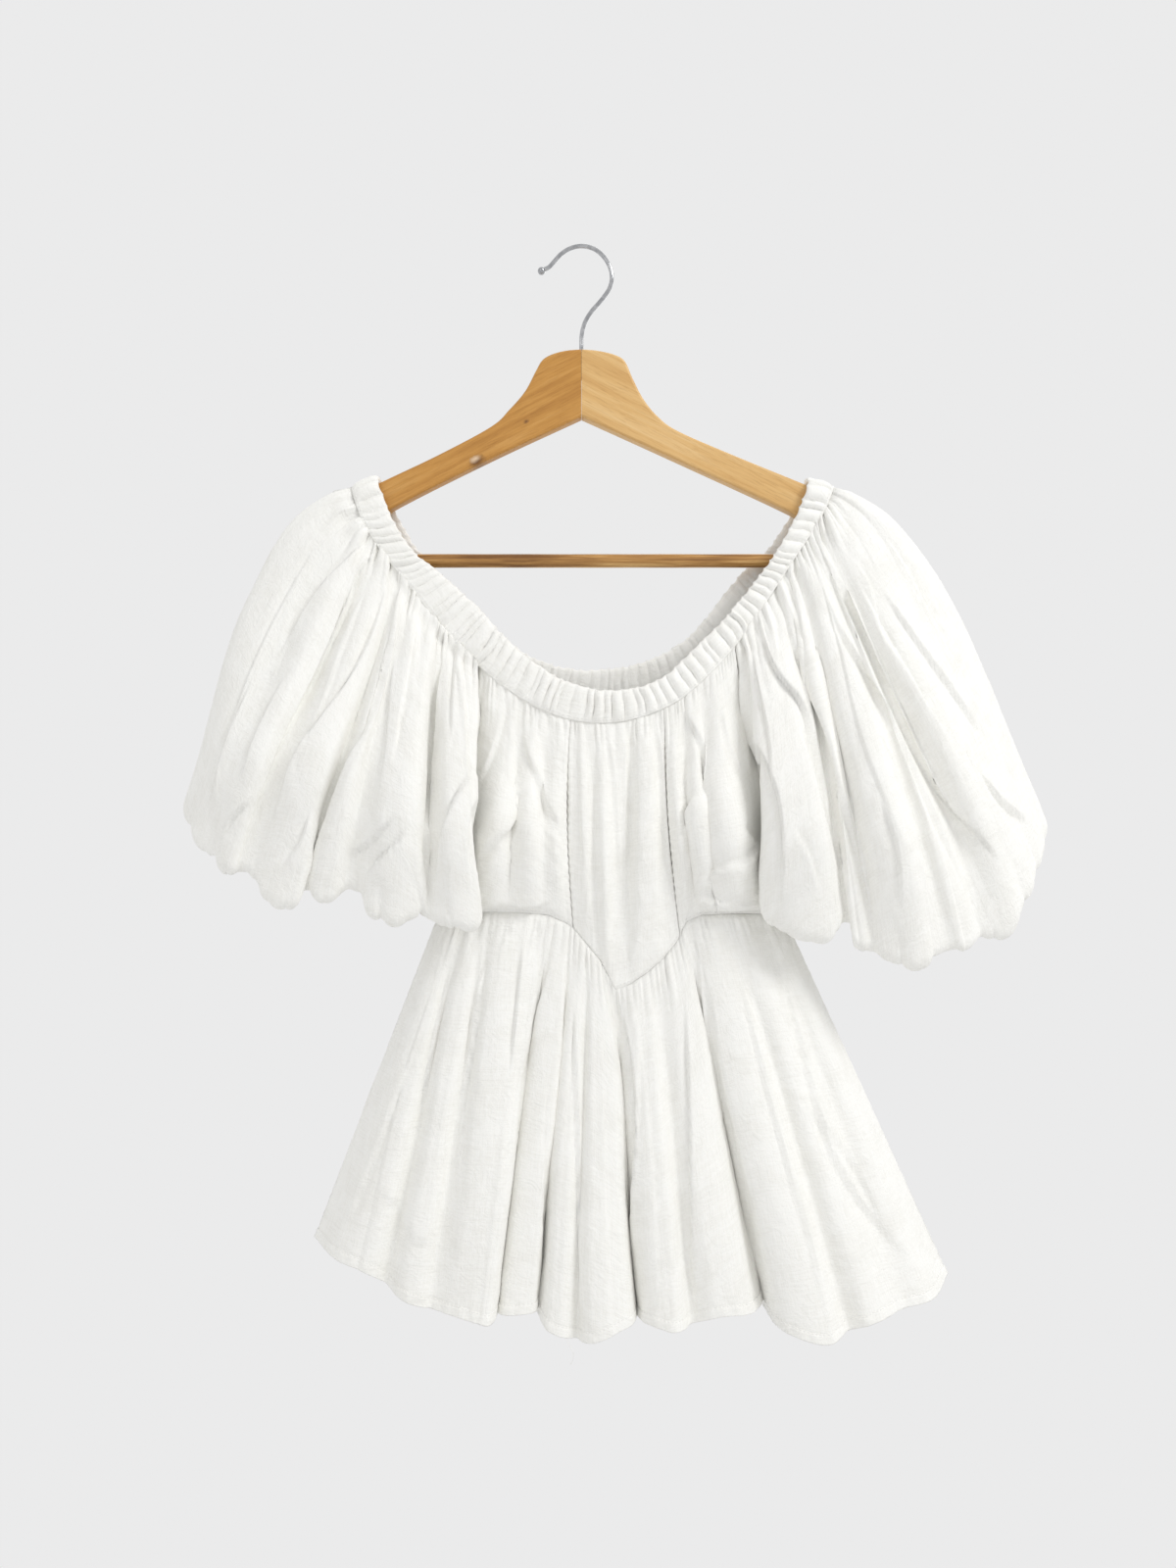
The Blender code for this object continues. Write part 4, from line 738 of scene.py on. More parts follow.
def panel(name, rows, edges, back, seed, creases, cloth):
    """A bodice panel between two seams; edges gives the sides that are raglan and side seams."""
    v = np.linspace(0, 1, 76)
    columns = [pleat_column(row, v, back) for row in rows]
    if edges[0]:
        columns.insert(0, side_edge(edges[0], back, v * LEVELS))
    else:
        columns[0][:, 0] += SEAM_GAP / 2
    if edges[1]:
        columns.append(side_edge(edges[1], back, v * LEVELS))
    else:
        columns[-1][:, 0] -= SEAM_GAP / 2
    grid, _ = across(columns)
    top = hang_from_neck(grid[0, :, 0], back, UNDER_CASING)
    x = grid[-1, :, 0]
    waist = WAIST_BACK if back else WAIST_FRONT
    foot = np.concatenate([x[:, None], waist_at(waist, x)], axis=-1)
    foot[0], foot[-1] = grid[-1, 0], grid[-1, -1]
    grid = settle(grid, top, foot)
    flip = outward_flip(grid, (0, 1 if back else -1, 0))
    s, t = arc_lengths(grid)
    rise = t[-1:] - t
    high = (all_gathers(PANEL_GATHERS, s, t, seed)
            + 0.7 * all_gathers(PANEL_FOOT_GATHERS, s, rise, seed)
            + swell_heights(s, t, seed + 3, 60, 0.8)
            + crinkle_heights(s, t, seed + 4, 140 if back else 60)
            + crease_heights(grid, creases, 0.9, 1.8))
    sewn = edges[0] or edges[1]
    if sewn and not back:
        level, inward = v[:, None], s / s.max() if edges[1] else 1 - s / s.max()
        bulge = BULGE[sewn] * smooth(0, 0.5, inward) * (
            smooth(0.15, 0.6, level) * (1 - smooth(0.95, 1.0, level)))
        high = high + bulge * seam_fade(grid, 2.5)
    high = (high * seam_fade(grid) * smooth(0, 5, rise)
            + along_seams(grid, t, seed) * smooth(0, 5, t))
    grid = raised(name, grid, high, flip)
    style = "under" if sewn else "over"
    weight = 1 - smooth(5.0, 6.0, v * LEVELS) if sewn else np.ones(len(v))
    grid = tuck(grid, flip, {"left": style, "right": style, "foot": "over"}, weight)
    return shell(name + "_cloth", grid, flip, cloth, (name,), arc_lengths(grid))


def raised(name, grid, high, flip):
    """The grid with its heights added, kept with its normals for the stitching."""
    grid = grid + normals_of(grid, flip) * high[..., None]
    SEAM_LINES[name] = (grid, normals_of(grid, flip))
    return grid


def into_ring(run, side):
    """Level directions into the ring of a sleeve, across the directions of a line round it."""
    across_it = np.stack([run[:, 1], -run[:, 0], 0 * run[:, 0]], axis=-1)
    return unit(across_it) * -OUTWARD[side]


def denser_below(split, upper, lower):
    """Shares of the way down, closer together below the split."""
    return np.concatenate([np.linspace(0, split, upper)[:-1], np.linspace(split, 1, lower)])


def cuff_ring(cuff, share):
    """Points of the ring where a sleeve ends, by the share of the way round from the underarm."""
    outward = -1 if cuff.x < 0 else 1
    turn = np.linspace(0, 2 * math.pi, 721)
    ring = np.stack([-np.cos(turn) * cuff.half_width, -np.sin(turn) * cuff.half_depth], axis=-1)
    at = lengths(ring)
    a, y = (np.interp(np.asarray(share) * at[-1], at, ring[:, k]) for k in range(2))
    return np.stack([cuff.x + outward * a, cuff.y + y, cuff.z + cuff.rise * a], axis=-1)


def sleeve_edge(side, back, level, cuff):
    """Points down one edge of a sleeve: raglan seam, then the seam under the arm."""
    line = side_edge(side, back, np.minimum(level, ARMHOLE_LEVEL))
    line = line + (OUTWARD[side] * SEAM_GAP, 0, 0)
    under = np.array([cuff.underarm_x, 0, cuff.underarm_z])
    share = np.clip((level - ARMHOLE_LEVEL) / (LEVELS - ARMHOLE_LEVEL), 0, 1)
    line = line + (under - line) * share[:, None]
    line[:, 1] = np.where(level >= ARMHOLE_LEVEL, (1 if back else -1) * SEAM_GAP / 2, line[:, 1])
    return line


def rolled_under(grid, t, side, ring):
    """A sleeve with its hem rounded inwards and up, and led to the ring that the cuff gathers."""
    window = np.hanning(15) / np.hanning(15).sum()
    inward = into_ring(np.gradient(grid[-1], axis=0), side)
    inward = np.stack([np.convolve(np.pad(inward[:, k], 7, mode="edge"), window, "valid")
                       for k in range(3)], axis=-1)
    gap = t[-1:] - t
    angle = (1 - np.clip(gap / ROLL_RISE, 0, 1)) * math.pi / 2
    grid = grid + inward * (ROLL * (1 - np.cos(angle)))[..., None]
    grid[..., 2] += np.where(gap < ROLL_RISE, ROLL_RISE * (1 - np.sin(angle)) - gap, 0)
    foot = grid[-1]
    turned = [foot + inward * ROLL * (-math.cos(turn)) + (0, 0, ROLL_RISE * (1 - math.sin(turn)))
              for turn in np.radians(ROLL_ANGLES)]
    last = turned[-1]
    turned += [last + (ring - last) * step for step in (0.2, 0.4, 0.6, 0.8, 1.0)]
    return np.concatenate([grid, np.array(turned)])


def sleeve(side, front_rows, ridge, back_rows, cuff, creases, seed, cloth):
    """A bubble sleeve from the front raglan seam round to the back one, rolled under at its hem."""
    v = denser_below(0.92, 66, 15)
    level = v * LEVELS
    columns = ([sleeve_edge(side, False, level, cuff)]
               + [sleeve_column(row, v, False) for row in front_rows + [ridge]]
               + [sleeve_column(row, v, True) for row in back_rows]
               + [sleeve_edge(side, True, level, cuff)])
    grid, u = across(columns, SLEEVE_STEPS)
    middle, x = len(front_rows) + 1, grid[0, :, 0]
    tops = [hang_from_neck(x, back, UNDER_CASING) for back in (False, True)]
    grid = settle(grid, np.where((u <= middle)[:, None], *tops), None, 0.08)

    # a level hem, let down in rounded puffs
    flip = outward_flip(grid[:, :SLEEVE_STEPS * middle], (0, -1, 0))
    s, t = arc_lengths(grid)
    fat = 4.2 * walls(normals_of(grid, flip)) * smooth(110, 10, t[-1:] - t)
    grid = grid + normals_of(grid, flip) * (fat * seam_fade(grid, 8))[..., None]
    low = grid[-12:, :, 2]
    levelled = spread_along(low, 16)[-1:] - low[-1:]
    low += levelled * 0.6 * smooth(0, 1, np.linspace(0, 1, 12))[:, None]
    hem_s = lengths(grid[-1])[None, :]
    drift = 2.5 * np.sin(t / 19) + 1.5 * np.sin(t / 7.3 + 1)
    big, _ = puffs(hem_s + drift, seed + 7, 40, 0.7)
    small, _ = puffs(hem_s - drift, seed + 8, 19, 0.8)
    grid[..., 2] -= ((3.6 * (big[-1:] - 0.6) + 1.1 * (small[-1:] - 0.55))
                     * smooth(30, 0, t[-1:] - t))
    share = np.where(u <= middle, 0.5 * u / middle,
                     0.5 + 0.5 * (u - middle) / (len(back_rows) + 1))
    wall_rows = len(grid)
    grid = rolled_under(grid, t, side, cuff_ring(cuff, share))
    turned_rows = len(grid) - wall_rows

    # heights over the wall and the roll
    s, t = arc_lengths(grid)
    front = 1 - smooth(middle - 0.8, middle + 0.3, u)[None, :]
    shifted = grid + (7 * OUTWARD[side], 0, 4)
    neck_s = lengths(grid[3])[None, :]
    deep = np.concatenate([v, np.full(turned_rows, 1.0)])
    gap = np.maximum(0, t[wall_rows - 1] - t)
    big, small = (np.concatenate([wave, np.repeat(wave[-1:], turned_rows, axis=0)])
                  for wave in (big, small))
    neck_ridge = np.exp(-((u - middle) / 1.6) ** 4)[None, :] * smooth(70, 20, t)
    high = (all_gathers(SLEEVE_GATHERS, neck_s, t, seed)
            + fan_heights(u, deep, seed + 6, int(0.45 * len(columns)), 2.0, wide=(0.5, 1.0))
            + 2.6 * (big - 0.6) * smooth(60, 6, gap) + 0.9 * (small - 0.5) * smooth(24, 2, gap)
            + swell_heights(s, t, seed + 3, 70, 1.4)
            + crinkle_heights(s, t, seed + 4, 260)
            + crease_heights(grid, creases) * front
            + 0.8 * crease_heights(shifted, creases) * (1 - front))
    calm = np.ones((len(grid), 1))
    calm[wall_rows:, 0] = np.linspace(0.8, 0, turned_rows)
    high = (high * seam_fade(grid) * calm
            + along_seams(grid, t, seed) * calm * smooth(0, 5, t)) * (1 - 0.92 * neck_ridge)
    grid = raised("sleeve_" + side, grid, high, flip)
    weight = np.concatenate([1 - smooth(5.0, 6.0, level), np.zeros(turned_rows)])
    grid = tuck(grid, flip, {"left": "over", "right": "over"}, weight)
    return shell(f"sleeve_{side}_cloth", grid, flip, cloth, ("sleeve_" + side,), arc_lengths(grid))


def cuff_band(side, cuff, seed, cloth):
    """The narrow gathered cuff inside a sleeve, a strip folded in half along its lower edge."""
    count, gathers = 420, 34
    share = np.arange(count) / count
    ring = cuff_ring(cuff, share)
    into = into_ring(np.roll(ring, -1, axis=0) - np.roll(ring, 1, axis=0), side)
    rng = np.random.default_rng(seed)
    uneven = 0.25 * np.sin(2 * math.pi * 3 * share + rng.uniform(0, 6))
    wave = 0.5 + 0.5 * np.sin(2 * math.pi * (gathers * share + uneven))
    rows = []
    for drop, deep in CUFF_SECTION:
        depth = deep + 0.8 * wave * (1 if 0 < drop < 16 else 0.3)
        rows.append(ring + into * depth[:, None] + np.array([0, 0, -drop]))
    return closed_band("cuff_" + side, np.array(rows), -into, slice(4), cloth)


def closed_band(node, grid, out, outer_rows, cloth):
    """The shell of a band that goes all round, with its outer rows facing out."""
    outward = (normals_of(grid[outer_rows], 1.0, True) * out).sum() > 0
    flip = 1.0 if outward else -1.0
    SEAM_LINES[node] = (grid, normals_of(grid, flip, True))
    return shell(node + "_cloth", grid, flip, cloth, (node,), arc_lengths(grid), closed=True)


def row_at(grid, normals, distance):
    """The line across a grid at a distance up from its foot, and the normals along it."""
    t = lengths(grid.transpose(1, 0, 2))
    line, out = (np.array([[np.interp(t[i, -1] - distance, t[i], values[:, i, k]) for k in range(3)]
                           for i in range(grid.shape[1])]) for values in (grid, normals))
    return line, unit(out)


def peplum(name, rows, waist, back, seed, creases, cloth):
    """The gathered skirt, with a narrow turned and stitched hem."""
    v = denser_below(0.955, 64, 16)
    u = np.linspace(0, len(rows) - 1, (len(rows) - 1) * PEPLUM_STEPS[back] + 1)
    x = np.interp(u, range(len(rows)), [row.waist_x for row in rows])
    top = np.concatenate([x[:, None], waist_at(waist, x)], axis=-1)
    top[:, 2] -= SEAM_GAP
    hem_x, hem_z, y_upper, y_lower, y_hem = (rounded([row[k] for row in rows], u)
                                             for k in range(1, 6))
    foot = np.stack([hem_x, y_hem, hem_z], axis=-1)
    grid = top + (foot - top) * v[:, None, None]
    grid[..., 1] = rounded(np.stack([top[:, 1], y_upper, y_lower, y_hem]), v * 3)
    grid[:, (0, -1), 1] = (1 if back else -1) * SEAM_GAP / 2
    flip = outward_flip(grid, (0, 1 if back else -1, 0))
    s, t = arc_lengths(grid)
    rise = t[-1:] - t
    waist_s, hem_s = (lengths(grid[k])[None, :] for k in (0, -1))
    high = (all_gathers(PEPLUM_GATHERS, waist_s, t, seed)
            + fan_heights(u, v, seed + 6, int(0.3 * len(rows)), 1.1, (0.5, 1.1), (0.0, 0.4),
                          (0.8, 1.8))
            + 4.0 * walls(normals_of(grid, flip), 30) * smooth(10, 60, t)
            + swell_heights(s, t, seed + 3, 80, 1.0)
            + crinkle_heights(s, t, seed + 4, 300))
    if back:
        high = high + 0.8 * crease_heights(grid * (-1, 1, 1) + (45, 0, 0), creases)
    else:
        high = high + crease_heights(grid, creases, 0.85)
    high = high * seam_fade(grid) * smooth(0, 4, t)
    high += 0.6 * along_seams(grid, t, seed)
    pucker = np.sin(2 * math.pi * hem_s / 11 + 0.8 * np.sin(hem_s / 23))
    high += (0.55 * (1 - smooth(6.4, 7.8, rise)) - 0.3 * np.exp(-((rise - HEM_STITCHES) / 0.9) ** 2)
             + 0.38 * pucker * np.exp(-((rise - 4) / 5) ** 2))
    grid = raised(name, grid, high, flip)
    grid = tuck(grid, flip, {"left": "tuck", "right": "tuck", "top": "under"})
    return shell(name + "_cloth", grid, flip, cloth, (name,), arc_lengths(grid))


def neck_casing(cloth):
    """The elastic neckline: a strip folded in half over the elastic and gathered all round."""
    rng = np.random.default_rng(3)
    bounds = np.concatenate([[0], np.cumsum(rng.uniform(0.55, 1.45, CASING_GATHERS))])
    bounds /= bounds[-1]
    tall = rng.uniform(0.4, 1.0, CASING_GATHERS)
    fine = np.linspace(0, len(NECK), 4001)
    at = lengths(rounded(OUTER, fine, closed=True))
    share = np.arange(CASING_ROUND) / CASING_ROUND
    position = np.interp(share * at[-1], at, fine)
    edge, way, out = neck_frame(position)
    width = np.linalg.norm(edge - rounded(INNER, position, closed=True), axis=-1)
    off_middle = np.abs(edge[:, 1])
    seat = np.where(edge[:, 0] < 0, *CASING_SEAT) * np.maximum(0, 1 - off_middle / SEAT_REACH)
    calm = np.clip((off_middle - 4) / 12, 0.15, 1)
    drift = np.sin(2 * math.pi * 9 * share + 1.3) + np.sin(2 * math.pi * 23 * share)
    rows = []
    for down, height, puff in CASING_SECTION:
        moved = share + 0.0011 * drift * math.sin(math.pi * down) + 0.0006 * math.cos(5 * down)
        moved = moved % 1.0
        index = np.clip(np.searchsorted(bounds, moved, side="right") - 1, 0, CASING_GATHERS - 1)
        phase = (moved - bounds[index]) / (bounds[index + 1] - bounds[index])
        wave = np.sin(math.pi * phase) ** 0.5 * tall[index]
        if height > -0.5:
            lift = height + 4.9 * puff * (wave - 0.34)
        else:
            lift = height - 2.2 * puff * (wave - 0.3) * calm
        lift = lift - (seat * min(1.0, 2 * (1 - down)) if height < 0 else 0)
        lip = -1.9 * (wave - 0.5) * math.exp(-down / 0.08)
        rows.append(edge - way * (width * (1 - down) + lip)[:, None] + out * lift[:, None])
    return closed_band("neck_casing", np.array(rows), out, slice(3, 8), cloth)


# The hanger

def sweep(name, line, radii, material, nodes, segments=20):
    """A round bar of changing thickness along a line in the plane of the hanger."""
    line = np.asarray(line, float)
    run = unit(np.gradient(line, axis=0))
    side = np.broadcast_to((0.0, 1.0, 0.0), run.shape)
    up = unit(np.cross(run, side))
    turn = np.linspace(0, 2 * math.pi, segments + 1)[:-1]
    turned = side[:, None] * np.cos(turn)[None, :, None] + up[:, None] * np.sin(turn)[None, :, None]
    rings = line[:, None] + turned * np.asarray(radii)[:, None, None]
    return link(name, capped_rings(name, rings), material, nodes)


def capped_rings(name, rings):
    """A closed mesh through rings of points, with a flat face on each end, all facing out."""
    count, around = rings.shape[:2]
    faces = quads(count, around, closed=True).tolist()
    faces.append(list(range(around))[::-1])
    faces.append(list(range((count - 1) * around, count * around)))
    mesh = mesh_from(name, rings.reshape(-1, 3), faces)
    bm = bmesh.new()
    bm.from_mesh(mesh)
    bmesh.ops.recalc_face_normals(bm, faces=bm.faces)
    if bm.calc_volume(signed=True) < 0:
        bmesh.ops.reverse_faces(bm, faces=bm.faces)
    bm.to_mesh(mesh)
    bm.free()
    return mesh


def hanger_arm(name, upper, lower, side, material):
    """One half of the hanger: a shaped board with its long edges rounded over."""
    inner_x = MITRE_X + side * 0.12
    corners = np.array([(inner_x, HEAD_TOP_Z)] + [(e.x, e.z) for e in upper]
                       + [(e.x, e.z) for e in lower] + [(inner_x, HEAD_FOOT_Z)], float)
    outline = rounded(corners, np.linspace(0, len(corners) - 1, (len(corners) - 1) * 7 + 1))
    after = np.roll(outline, -1, axis=0)
    ahead, behind = after - outline, outline - np.roll(outline, 1, axis=0)
    area = np.sum(outline[:, 0] * after[:, 1] - outline[:, 1] * after[:, 0])
    sides = [unit(np.stack([-run[:, 1], run[:, 0]], -1)) for run in (ahead, behind)]
    inward = unit((sides[0] + sides[1]) * (1 if area > 0 else -1))
    inward[0], inward[-1] = (0, -1), (0, 1)
    bends = [(BOARD_ROUND * (1 - math.cos(turn)), -HANGER_HALF + BOARD_ROUND * (1 - math.sin(turn)))
             for turn in np.radians((90, 72, 54, 36, 18, 0))]
    bends += [(inset, -y) for inset, y in bends[::-1]]
    rings = np.array([[(x, y, z) for x, z in outline + inward * inset] for inset, y in bends])
    mesh = capped_rings(name, rings)
    made = link(name, mesh, material, (name.replace("_wood", ""),))
    for polygon in mesh.polygons:
        if len(polygon.vertices) > 4:
            polygon.use_smooth = False
    return made


def hanger_bar(material):
    start, end = BAR_SPAN
    stations = [(start - PIN_LENGTH, PIN_RADIUS), (start - 0.1, PIN_RADIUS),
                (start, PIN_RADIUS + 0.1), (start, BAR_RADIUS - 0.8),
                (start + 0.3, BAR_RADIUS - 0.25), (start + 0.9, BAR_RADIUS)]
    stations += [(x, BAR_RADIUS + 0.04 * math.sin(x / 9))
                 for x in np.linspace(start + 12, end - 12, 34)]
    stations += [(end - 0.9, BAR_RADIUS), (end - 0.3, BAR_RADIUS - 0.25), (end, BAR_RADIUS - 0.8),
                 (end, PIN_RADIUS + 0.1), (end + 0.1, PIN_RADIUS), (end + PIN_LENGTH, PIN_RADIUS)]
    line = [(x + 1e-4 * k, 0, BAR_Z) for k, (x, _) in enumerate(stations)]
    radii = [radius for _, radius in stations]
    return sweep("hanger_bar_wood", line, radii, material, ("hanger_bar",), 28)


def hanger_hook(material):
    path = rounded([(b.x, 0, b.z) for b in HOOK], np.linspace(0, len(HOOK) - 1, 110))
    tip_way = unit(path[0] - path[1])
    centre = path[0] + tip_way * BALL_RADIUS * 0.8
    ball = [(centre - tip_way * math.cos(a) * BALL_RADIUS, max(0.05, math.sin(a) * BALL_RADIUS))
            for a in np.linspace(0.62, math.pi, 12)]
    line = [p for p, _ in ball[::-1]] + list(path)
    radii = [r for _, r in ball[::-1]] + [WIRE_RADIUS] * len(path)
    return sweep("hanger_hook_wire", line, radii, material, ("hanger_hook",), 20)


# Materials

class Nodes:
    """Builds a node tree: each call adds a node and links what it is given."""

    def __init__(self, name):
        self.material = bpy.data.materials.new(name)
        self.material.use_nodes = True
        self.tree = self.material.node_tree
        self.shader = self.tree.nodes["Principled BSDF"]

    def add(self, kind, inputs=(), **settings):
        node = self.tree.nodes.new(kind)
        for key, value in settings.items():
            setattr(node, key, value)
        for key, value in dict(inputs).items():
            if isinstance(value, bpy.types.NodeSocket):
                self.tree.links.new(value, node.inputs[key])
            else:
                node.inputs[key].default_value = value
        return node

    def place(self, kind="Object"):
        return self.add("ShaderNodeTexCoord").outputs[kind]

    def mapped(self, vector, **settings):
        return self.add("ShaderNodeMapping", {"Vector": vector, **settings}).outputs[0]

    def noise(self, vector, scale, detail=2.0, rough=0.5, distortion=0.0, stretch=(1, 1, 1)):
        settings = {"Vector": self.mapped(vector, Scale=stretch), "Scale": scale, "Detail": detail,
                    "Roughness": rough, "Distortion": distortion}
        return self.add("ShaderNodeTexNoise", settings).outputs["Fac"]

    def maths(self, operation, a, b=0.0):
        return self.add("ShaderNodeMath", {0: a, 1: b}, operation=operation).outputs[0]

    def total(self, *terms):
        """The sum of values, each given with its weight."""
        parts = [self.maths("MULTIPLY", value, weight) for value, weight in terms]
        made = parts[0]
        for part in parts[1:]:
            made = self.maths("ADD", made, part)
        return made

    def ramp(self, value, stops):
        node = self.add("ShaderNodeValToRGB", {"Fac": value})
        ramp = node.color_ramp
        while len(ramp.elements) < len(stops):
            ramp.elements.new(0.5)
        for element, (at, colour) in zip(ramp.elements, stops):
            element.position, element.color = at, (*colour, 1.0)
        return node.outputs["Color"]

    def mix(self, share, a, b, blend="MIX"):
        node = self.add("ShaderNodeMix", {"Factor": share}, data_type="RGBA", blend_type=blend)
        for key, value in ((6, a), (7, b)):
            if isinstance(value, bpy.types.NodeSocket):
                self.tree.links.new(value, node.inputs[key])
            else:
                node.inputs[key].default_value = (*value, 1.0)
        return node.outputs[2]

    def finish(self, colour, roughness, height=None, depth=0.001, strength=0.5, **constants):
        self.tree.links.new(colour, self.shader.inputs["Base Color"])
        if isinstance(roughness, bpy.types.NodeSocket):
            self.tree.links.new(roughness, self.shader.inputs["Roughness"])
        else:
            self.shader.inputs["Roughness"].default_value = roughness
        if height is not None:
            bump = self.add("ShaderNodeBump",
                            {"Height": height, "Distance": depth, "Strength": strength})
            self.tree.links.new(bump.outputs[0], self.shader.inputs["Normal"])
        for key, value in constants.items():
            self.shader.inputs[key.replace("_", " ")].default_value = value
        return self.material


def linen_material():
    """Plain-woven linen: two sets of uneven threads with slubs, soft crumples, cloudy thickness."""
    n = Nodes("linen_cloth")
    cut = n.place("UV")
    warp = n.noise(cut, 100, 2, 0.6, 0.0, (1.9, 0.08, 1))
    weft = n.noise(cut, 100, 2, 0.6, 0.0, (0.08, 1.9, 1))
    slub_warp = n.noise(cut, 60, 3, 0.6, 0.15, (1.2, 0.09, 1))
    slub_weft = n.noise(cut, 60, 3, 0.6, 0.15, (0.09, 1.2, 1))
    crumple = n.noise(cut, 7, 4, 0.6, 1.4)
    ridged = n.maths("ABSOLUTE", n.maths("SUBTRACT", crumple, 0.5))
    crinkle = n.noise(cut, 26, 3, 0.6, 0.8)
    cloud = n.noise(cut, 3.5, 4, 0.6, 0.6)
    threads, slubs = n.maths("ADD", warp, weft), n.maths("ADD", slub_warp, slub_weft)
    height = n.total((threads, 0.35), (slubs, 0.50), (ridged, 3.0), (crinkle, 0.8))
    shade = n.total((slubs, 0.5), (cloud, 0.6), (threads, 0.15))
    colour = n.ramp(shade, [(0.66, (0.87, 0.86, 0.815)), (0.95, (0.935, 0.928, 0.89)),
                            (1.0, (0.95, 0.945, 0.912))])
    return n.finish(colour, 0.92, height, 0.0011, 0.45, Sheen_Weight=0.1, Sheen_Roughness=0.5,
                    Specular_IOR_Level=0.2)


def thread_material():
    n = Nodes("sewing_thread")
    twist = n.noise(n.place(), 2600, 1)
    colour = n.ramp(twist, [(0.3, (0.84, 0.83, 0.80)), (0.7, (0.93, 0.925, 0.91))])
    return n.finish(colour, 0.6, twist, 0.0002, 0.3, Sheen_Weight=0.1, Specular_IOR_Level=0.3)


def wood_material(name, pale, mid, dark, lean, knots=(), contrast=1.0):
    """Varnished wood with its grain along one direction in the plane of the hanger.

    A knot is its middle, size, how flat it is, its colour and how strong that is."""
    n = Nodes(name)
    place = n.place()
    turned = n.mapped(place, Rotation=(0, lean, 0))
    grain = n.noise(turned, 10, 6, 0.6, 0.6, (1.1, 26, 26))
    broad = n.noise(turned, 10, 3, 0.5, 0.8, (0.5, 5, 5))
    pores = n.noise(turned, 100, 2, 0.6, 0.0, (0.8, 16, 16))
    value = n.total((grain, 0.55), (broad, 0.45))
    colour = n.ramp(value, [(0.5 - 0.22 / contrast, dark), (0.5, mid),
                            (0.5 + 0.2 / contrast, pale)])
    streak = n.ramp(pores, [(0.30, (0.72, 0.66, 0.6)), (0.48, (1, 1, 1))])
    colour = n.mix(0.6, colour, streak, "MULTIPLY")
    for (x, z, size, flat, tint, strength) in knots:
        centred = n.mapped(n.mapped(place, Location=(-x * MM, 0, -z * MM)), Rotation=(0, lean, 0))
        scaled = n.mapped(centred, Scale=(1 / (size * MM), 0, flat / (size * MM)))
        far = n.add("ShaderNodeVectorMath", {0: scaled}, operation="LENGTH").outputs["Value"]
        ring = n.maths("ADD", far, n.maths("MULTIPLY", n.noise(place, 400, 2), 0.5))
        share = n.ramp(ring, [(0.35, (strength,) * 3), (1.0, (0, 0, 0))])
        colour = n.mix(share, colour, tint)
    rough = n.maths("ADD", n.maths("MULTIPLY", grain, 0.16), 0.36)
    return n.finish(colour, rough, n.total((grain, 0.6), (pores, 0.5)), 0.0004, 0.22,
                    Coat_Weight=0.08, Coat_Roughness=0.25, Specular_IOR_Level=0.35)


def chrome_material():
    n = Nodes("hook_plating")
    place = n.place()
    # The plating's grey runs from about bare chrome down to darker, a mottle painted in as
    # reflection of a darker room round it; the same noise varies its roughness, as wear does.
    wear_and_painted_reflection = n.noise(place, 300, 3)
    colour = n.ramp(wear_and_painted_reflection, [(0.3, (0.36, 0.365, 0.38)), (0.7, (0.56, 0.565, 0.575))])
    rough = n.maths("ADD", n.maths("MULTIPLY", wear_and_painted_reflection, 0.14), 0.08)
    return n.finish(colour, rough, n.noise(place, 900, 2), 0.0001, 0.15, Metallic=1.0)


def plain_material(name, colour, roughness):
    n = Nodes(name)
    cloud = n.noise(n.place(), 3, 2)
    low = tuple(c * 0.985 for c in colour)
    return n.finish(n.ramp(cloud, [(0.3, low), (0.7, colour)]), roughness)


# Building it all

cloth = linen_material()
thread = thread_material()

made = {"neck_casing": neck_casing(cloth)}
for name, rows, edges, back, seed in (
        ("front_side_left", FRONT_SIDE_LEFT, ("left", None), False, 11),
        ("front_centre", FRONT_CENTRE, (None, None), False, 21),
        ("front_side_right", FRONT_SIDE_RIGHT, (None, "right"), False, 31),
        ("back_bodice", BACK_BODICE, ("left", "right"), True, 41)):
    made[name] = panel(name, rows, edges, back, seed, () if back else BODICE_CREASES, cloth)
for side, *rows, cuff, creases, seed in (
        ("left", LEFT_SLEEVE_FRONT, LEFT_RIDGE, LEFT_SLEEVE_BACK, LEFT_CUFF,
         LEFT_SLEEVE_CREASES, 51),
        ("right", RIGHT_SLEEVE_FRONT, RIGHT_RIDGE, RIGHT_SLEEVE_BACK, RIGHT_CUFF,
         RIGHT_SLEEVE_CREASES, 61)):
    made["sleeve_" + side] = sleeve(side, *rows, cuff, creases, seed, cloth)
for side, cuff, seed in (("left", LEFT_CUFF, 71), ("right", RIGHT_CUFF, 72)):
    made["cuff_" + side] = cuff_band(side, cuff, seed, cloth)
for name, rows, waist, back, seed in (("peplum_front", PEPLUM_FRONT, WAIST_FRONT, False, 81),
                                      ("peplum_back", PEPLUM_BACK, WAIST_BACK, True, 91)):
    made[name] = peplum(name, rows, waist, back, seed, PEPLUM_CREASES, cloth)

HEM_PIECES = ("peplum_front", "peplum_back")
WAIST_PIECES = ("front_side_left", "front_centre", "front_side_right", "back_bodice")
stitches("hem_stitching", [row_at(*SEAM_LINES[piece], HEM_STITCHES) for piece in HEM_PIECES],
         thread)

